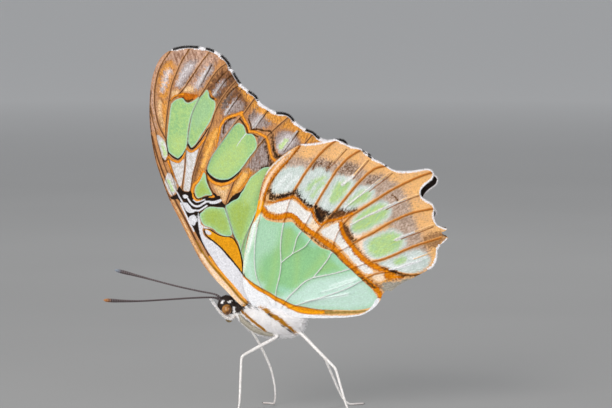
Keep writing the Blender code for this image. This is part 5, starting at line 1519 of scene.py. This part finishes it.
def placed(stations, mirrored=False):
    """Limb stations of pixels as places and radii in metres, or those of the other side."""
    made = []
    for px, py, left, radius in stations:
        spot = in_place(px, FLOOR_PX if py is None else py, left)
        if py is None:
            spot.z = FOOT_MIDDLE * MM
        if mirrored:
            spot.y = 2 * MIDDLE_Y - spot.y
        made.append((*spot, radius * MM))
    return made


def limb_hair(name, path, count, size, width, lean, finish, chance, first, last, fields=()):
    """Short hairs or bristles over a limb, leaning towards its tip, with the fields at 0."""
    roots, ways, ups, lengths, widths, spots = [], [], [], [], [], []
    for _ in range(count):
        share = chance.uniform(first, last)
        place_on = share * (len(path) - 1)
        i = min(int(place_on), len(path) - 2)
        middle = path[i] + (path[i + 1] - path[i]) * (place_on - i)
        along = path[i + 1, :3] - path[i, :3]
        along /= np.linalg.norm(along)
        across = np.cross(along, (0.0, 1.0, 0.1))
        across /= np.linalg.norm(across)
        upwards = np.cross(along, across)
        angle = chance.uniform(0, 2 * math.pi)
        normal = across * math.cos(angle) + upwards * math.sin(angle)
        root = middle[:3] + normal * (middle[3] - 0.02 * MM)
        roots.append(root)
        way = along + normal * lean + np.array([chance.gauss(0, 0.12) for _ in range(3)])
        ways.append(way)
        ups.append(normal)
        long = chance.uniform(0.7, 1.2) * size * MM
        # A hair that would reach below the floor is cut short
        lowest = root[2] + long * min(0.0, float(way[2]) / float(np.linalg.norm(way)))
        lengths.append(long if lowest > 0 else long * 0.2)
        widths.append(chance.uniform(0.8, 1.2) * width * MM)
        spots.append(hair_spot(angle, share))
    strands(name, roots, ways, ups, lengths, widths, 0.6, 0.05, finish, spots,
            {field: np.zeros(count) for field in fields})


def eye_finish():
    """Smooth chitin over facets: a glossy amber ball, clouded darker and paler, with a fine grid.
    """
    made, tree, shader = new_material("amber_compound_eye", 0.22, 0.5)
    spot = node(tree, "ShaderNodeTexCoord", output="Object")
    # Facets are 0.03 mm wide, drawn 0.09 mm so that they show
    facet = node(tree, "ShaderNodeTexVoronoi", None, {"Vector": spot, "Scale": 11000})
    cloud = node(tree, "ShaderNodeTexNoise", None, {"Vector": spot, "Scale": 1500, "Detail": 2})
    ramp = node(tree, "ShaderNodeValToRGB", None, {"Fac": cloud})
    stops = ramp.node.color_ramp.elements
    stops[0].position, stops[1].position = 0.38, 0.62
    stops[0].color, stops[1].color = hex_colour("5C3512"), hex_colour("B07A38")
    tree.links.new(ramp, shader.inputs["Base Color"])
    bump = node(tree, "ShaderNodeBump", None,
                {"Strength": 0.35, "Distance": 0.00003, "Height": facet})
    tree.links.new(bump, shader.inputs["Normal"])
    shader.inputs["Coat Weight"].default_value = 0.4
    shader.inputs["Coat Roughness"].default_value = 0.1
    return made


def cuticle_finish(name, base, tips, rings, roughness):
    """Scaled cuticle of a limb. tips colour it towards the end, rings band it crosswise.

    tips is a colour and where along the limb it starts and is full. rings is a colour, the
    bands' spacing in millimetres and their strength.
    """
    made, tree, shader = new_material(name, roughness, 0.4)
    spot = node(tree, "ShaderNodeTexCoord", output="Object")
    vary = node(tree, "ShaderNodeTexNoise", None, {"Vector": spot, "Scale": 3500, "Detail": 2})
    colour = node(tree, "ShaderNodeValToRGB", None, {"Fac": vary})
    stops = colour.node.color_ramp.elements
    stops[0].position, stops[1].position = 0.35, 0.65
    stops[0].color, stops[1].color = hex_colour(base[0]), hex_colour(base[1])
    laid = []
    if rings:
        tone, spacing, strength = rings
        travel = node(tree, "ShaderNodeAttribute", {"attribute_name": "travel"}, None, "Fac")
        turn = node(tree, "ShaderNodeMath", {"operation": "MULTIPLY"},
                    {0: travel, 1: 2 * math.pi / spacing})
        wave = node(tree, "ShaderNodeMath", {"operation": "SINE"}, {0: turn})
        laid.append((tone, wave, 0.55, 0.8, strength))
    if tips:
        tone, starts, full = tips
        along = node(tree, "ShaderNodeAttribute", {"attribute_name": "share"}, None, "Fac")
        laid.append((tone, along, starts, full, 1.0))
    for tone, value, low, high, most in laid:
        share = node(tree, "ShaderNodeMapRange", None,
                     {"Value": value, "From Min": low, "From Max": high, "To Max": most})
        colour = node(tree, "ShaderNodeMix", {"data_type": "RGBA"},
                      {0: share, 6: colour, 7: hex_colour(tone)}, 2)
    tree.links.new(colour, shader.inputs["Base Color"])
    bump = node(tree, "ShaderNodeBump", None,
                {"Strength": 0.25, "Distance": 0.00002, "Height": vary})
    tree.links.new(bump, shader.inputs["Normal"])
    return made


def make_eye(word, side, finish):
    """One compound eye, a ball pressed to an oval."""
    spot = in_place(*EYE_PX)
    spot.y = MIDDLE_Y + side * EYE_MIDDLE * MM
    bpy.ops.object.select_all(action="DESELECT")
    bpy.ops.mesh.primitive_uv_sphere_add(segments=48, ring_count=28, radius=1, location=spot)
    made = bpy.context.object
    made.name = f"eye_{word}_ball"
    bpy.ops.transform.resize(value=tuple(r * MM for r in EYE_RADII))
    bpy.ops.object.transform_apply()
    bpy.ops.object.shade_smooth()
    made.data.materials.append(finish)
    adopt(made, (f"eye_{word}",))


def coil_stations():
    """Stations of the proboscis: from the mouth into a flat coil that narrows inwards."""
    hub = in_place(*COIL_PX)
    made = [(*in_place(*COIL_ROOT_PX), COIL_THICKNESS * MM)]
    for i in range(COIL_POINTS):
        share = i / (COIL_POINTS - 1)
        angle = COIL_FROM + 2 * math.pi * COIL_TURNS * share
        radius = (COIL_RADII[0] + (COIL_RADII[1] - COIL_RADII[0]) * share) * MM
        made.append((hub.x + radius * math.cos(angle), MIDDLE_Y,
                     hub.z + radius * math.sin(angle),
                     COIL_THICKNESS * (1 - COIL_TAPER * share) * MM))
    return made


def claws(name, path, finish):
    """The two small hooks at the end of a foot."""
    tip, way = path[-1, :3], path[-1, :3] - path[-4, :3]
    way /= np.linalg.norm(way)
    across = np.array([-way[1], way[0], 0.0])
    ways = [way * 0.8 + across * s * 0.6 for s in (-1, 1)]
    strands(name, [tip - way * 0.1 * MM] * 2, ways, [(0, 0, 1.0)] * 2, [CLAW_LENGTH * MM] * 2,
            [0.06 * MM] * 2, 0.9, 0.22, finish, [(0.3, 0.3), (0.6, 0.6)], {})


def make_body():
    """Trunk, eyes, mouthparts, antennae and legs."""
    chance = random.Random(11)
    # Short white scales with dark and orange ones among them, and longer hair over them; the dark
    # is partly painted shade between tufts
    skin = fibre_finish("scaled_skin", [("dark", "2A1F1A"), ("orange", "A87008")],
                        ("F8F6F4", "E8E4E2"), 0.75, 0.0)
    fur = fibre_finish("white_and_orange_hair", [("orange", "BE8206"), ("dark", "2B2019")],
                       ("FCFBFC", "F0EEF0"), 0.8, 0.1)
    rings = trunk_rings()
    trunk_skin(rings, skin)
    body_fur(rings, fur, chance)
    eye = eye_finish()
    for side, word in SIDES:
        make_eye(word, side, eye)

    # Palps: off-white scales with darker cuticle between them
    palp_skin = cuticle_finish("scaled_palp", ("D9D4D0", "BDB4AC"), None, None, 0.7)
    # Forelegs: grey-brown scales under a brush of paler hair
    foreleg_skin = cuticle_finish("scaled_foreleg", ("B4AEA0", "8E8676"), None, None, 0.7)
    foreleg_hair = fibre_finish("foreleg_brush", [], ("CBC6B9", "9C9485"), 0.8, 0.2)
    # Antennae: black-brown rings 0.4 mm long, each with a pale ring of scales at its foot
    shafts = {word: cuticle_finish(f"ringed_antenna_{word}", ("2E2122", "3F2E2E"),
                                   (tip, 0.93, 0.99), ("8D8588", RING_SPACING, 0.55), 0.45)
              for word, tip in (("left", "A86A2C"), ("right", "7C8794"))}
    # Legs: near-white scales, greyer at the feet, with grey bristles and dark, glossier claws
    legs = cuticle_finish("pale_scaled_leg", ("F4F2F0", "DAD5D2"), ("B8B0AE", 0.8, 1.0),
                          None, 0.6)
    bristles = fibre_finish("leg_bristles", [], ("CFC8CA", "9A9094"), 0.7, 0.1)
    claw_horn = fibre_finish("leg_claws", [], ("4A3A34", "2C2220"), 0.4, 0.0)
    # Proboscis: bare brown horn in fine paler rings, half glossy
    brown = cuticle_finish("horn_brown_proboscis", ("8A7650", "6E5A3A"), None,
                           ("9A8660", 0.12, 0.5), 0.4)
    for _, word in SIDES:
        path = tube(f"palp_{word}_tube", placed(PALP, word == "right"), palp_skin,
                    f"palp_{word}")
        limb_hair(f"palp_{word}_hair", path, 420, 0.34, 0.03, 0.45, fur, chance,
                  0.05, 0.98, ("dark", "orange"))
        path = tube(f"foreleg_{word}_tube", placed(FORELEG, word == "right"), foreleg_skin,
                    f"foreleg_{word}")
        limb_hair(f"foreleg_{word}_hair", path, 700, 0.42, 0.03, 0.4, foreleg_hair,
                  chance, 0.05, 0.98)
    for word, stations in ANTENNAE.items():
        tube(f"antenna_{word}_shaft", placed(stations), shafts[word],
             f"antenna_{word}", 0.07, 4, RING_SPACING)
    tube("proboscis_coil", coil_stations(), brown, "proboscis", 0.1, 3)
    for name, stations in LEGS.items():
        path = tube(f"{name}_limb", placed(stations), legs, name, 0.12)
        limb_hair(f"{name}_bristles", path, 200, 0.16, 0.015, 0.6, bristles, chance,
                  0.12, 0.97)
        claws(f"{name}_claws", path, claw_horn)


def studio():
    """A plain floor, soft light from the camera's left and above, and the camera."""
    bpy.ops.object.select_all(action="DESELECT")
    bpy.ops.mesh.primitive_plane_add(size=FLOOR_SIZE, location=(0, 0, 0))
    floor = bpy.context.object
    floor.name = "floor"
    made, tree, shader = new_material("matt_paper_floor", 0.9, 0.2)
    # Paper: faintly cloudy, mid-grey where the lamps reach it and paler beyond them, so that
    # the ground stays even
    spot = node(tree, "ShaderNodeTexCoord", output="Object")
    cloud = node(tree, "ShaderNodeTexNoise", None, {"Vector": spot, "Scale": 9})
    away = node(tree, "ShaderNodeVectorMath", {"operation": "LENGTH"}, {0: spot}, "Value")
    near = node(tree, "ShaderNodeMapRange", None,
                {"Value": cloud, "From Min": 0.3, "From Max": 0.7, "To Min": 0.27, "To Max": 0.29})
    ramp = node(tree, "ShaderNodeMapRange", None,
                {"Value": away, "From Min": 0.15, "From Max": 1.2, "To Min": near,
                 "To Max": 0.78})
    tree.links.new(ramp, shader.inputs["Base Color"])
    floor.data.materials.append(made)

    world = bpy.data.worlds.new("studio")
    bpy.context.scene.world = world
    world.use_nodes = True
    sky = world.node_tree.nodes["Background"]
    sky.inputs["Color"].default_value = (0.95, 0.97, 1.0, 1)
    sky.inputs["Strength"].default_value = 0.45
    middle = in_place(FRAME_PX[0] / 2, FRAME_PX[1] / 2)
    for name, place, size, power, tone in LAMPS:
        light = bpy.data.lights.new(name, "AREA")
        light.shape = "DISK"
        light.size = size
        light.energy = power
        light.color = tone
        lamp = bpy.data.objects.new(name, light)
        lamp.location = place
        lamp.rotation_euler = (middle - Vector(place)).to_track_quat("-Z", "Y").to_euler()
        bpy.context.scene.collection.objects.link(lamp)

    data = bpy.data.cameras.new("photograph")
    data.lens = LENS
    data.sensor_width = 36
    data.clip_start = 0.01
    camera = bpy.data.objects.new("photograph", data)
    distance = FRAME_PX[0] * PIXEL * data.lens / data.sensor_width
    camera.location = middle + distance * Vector((0, -math.cos(LOOK_DOWN), math.sin(LOOK_DOWN)))
    camera.rotation_euler = (math.pi / 2 - LOOK_DOWN, 0, 0)
    bpy.context.scene.collection.objects.link(camera)
    bpy.context.scene.camera = camera
    bpy.context.scene.view_settings.view_transform = "Standard"


studio()
make_wings()
make_body()
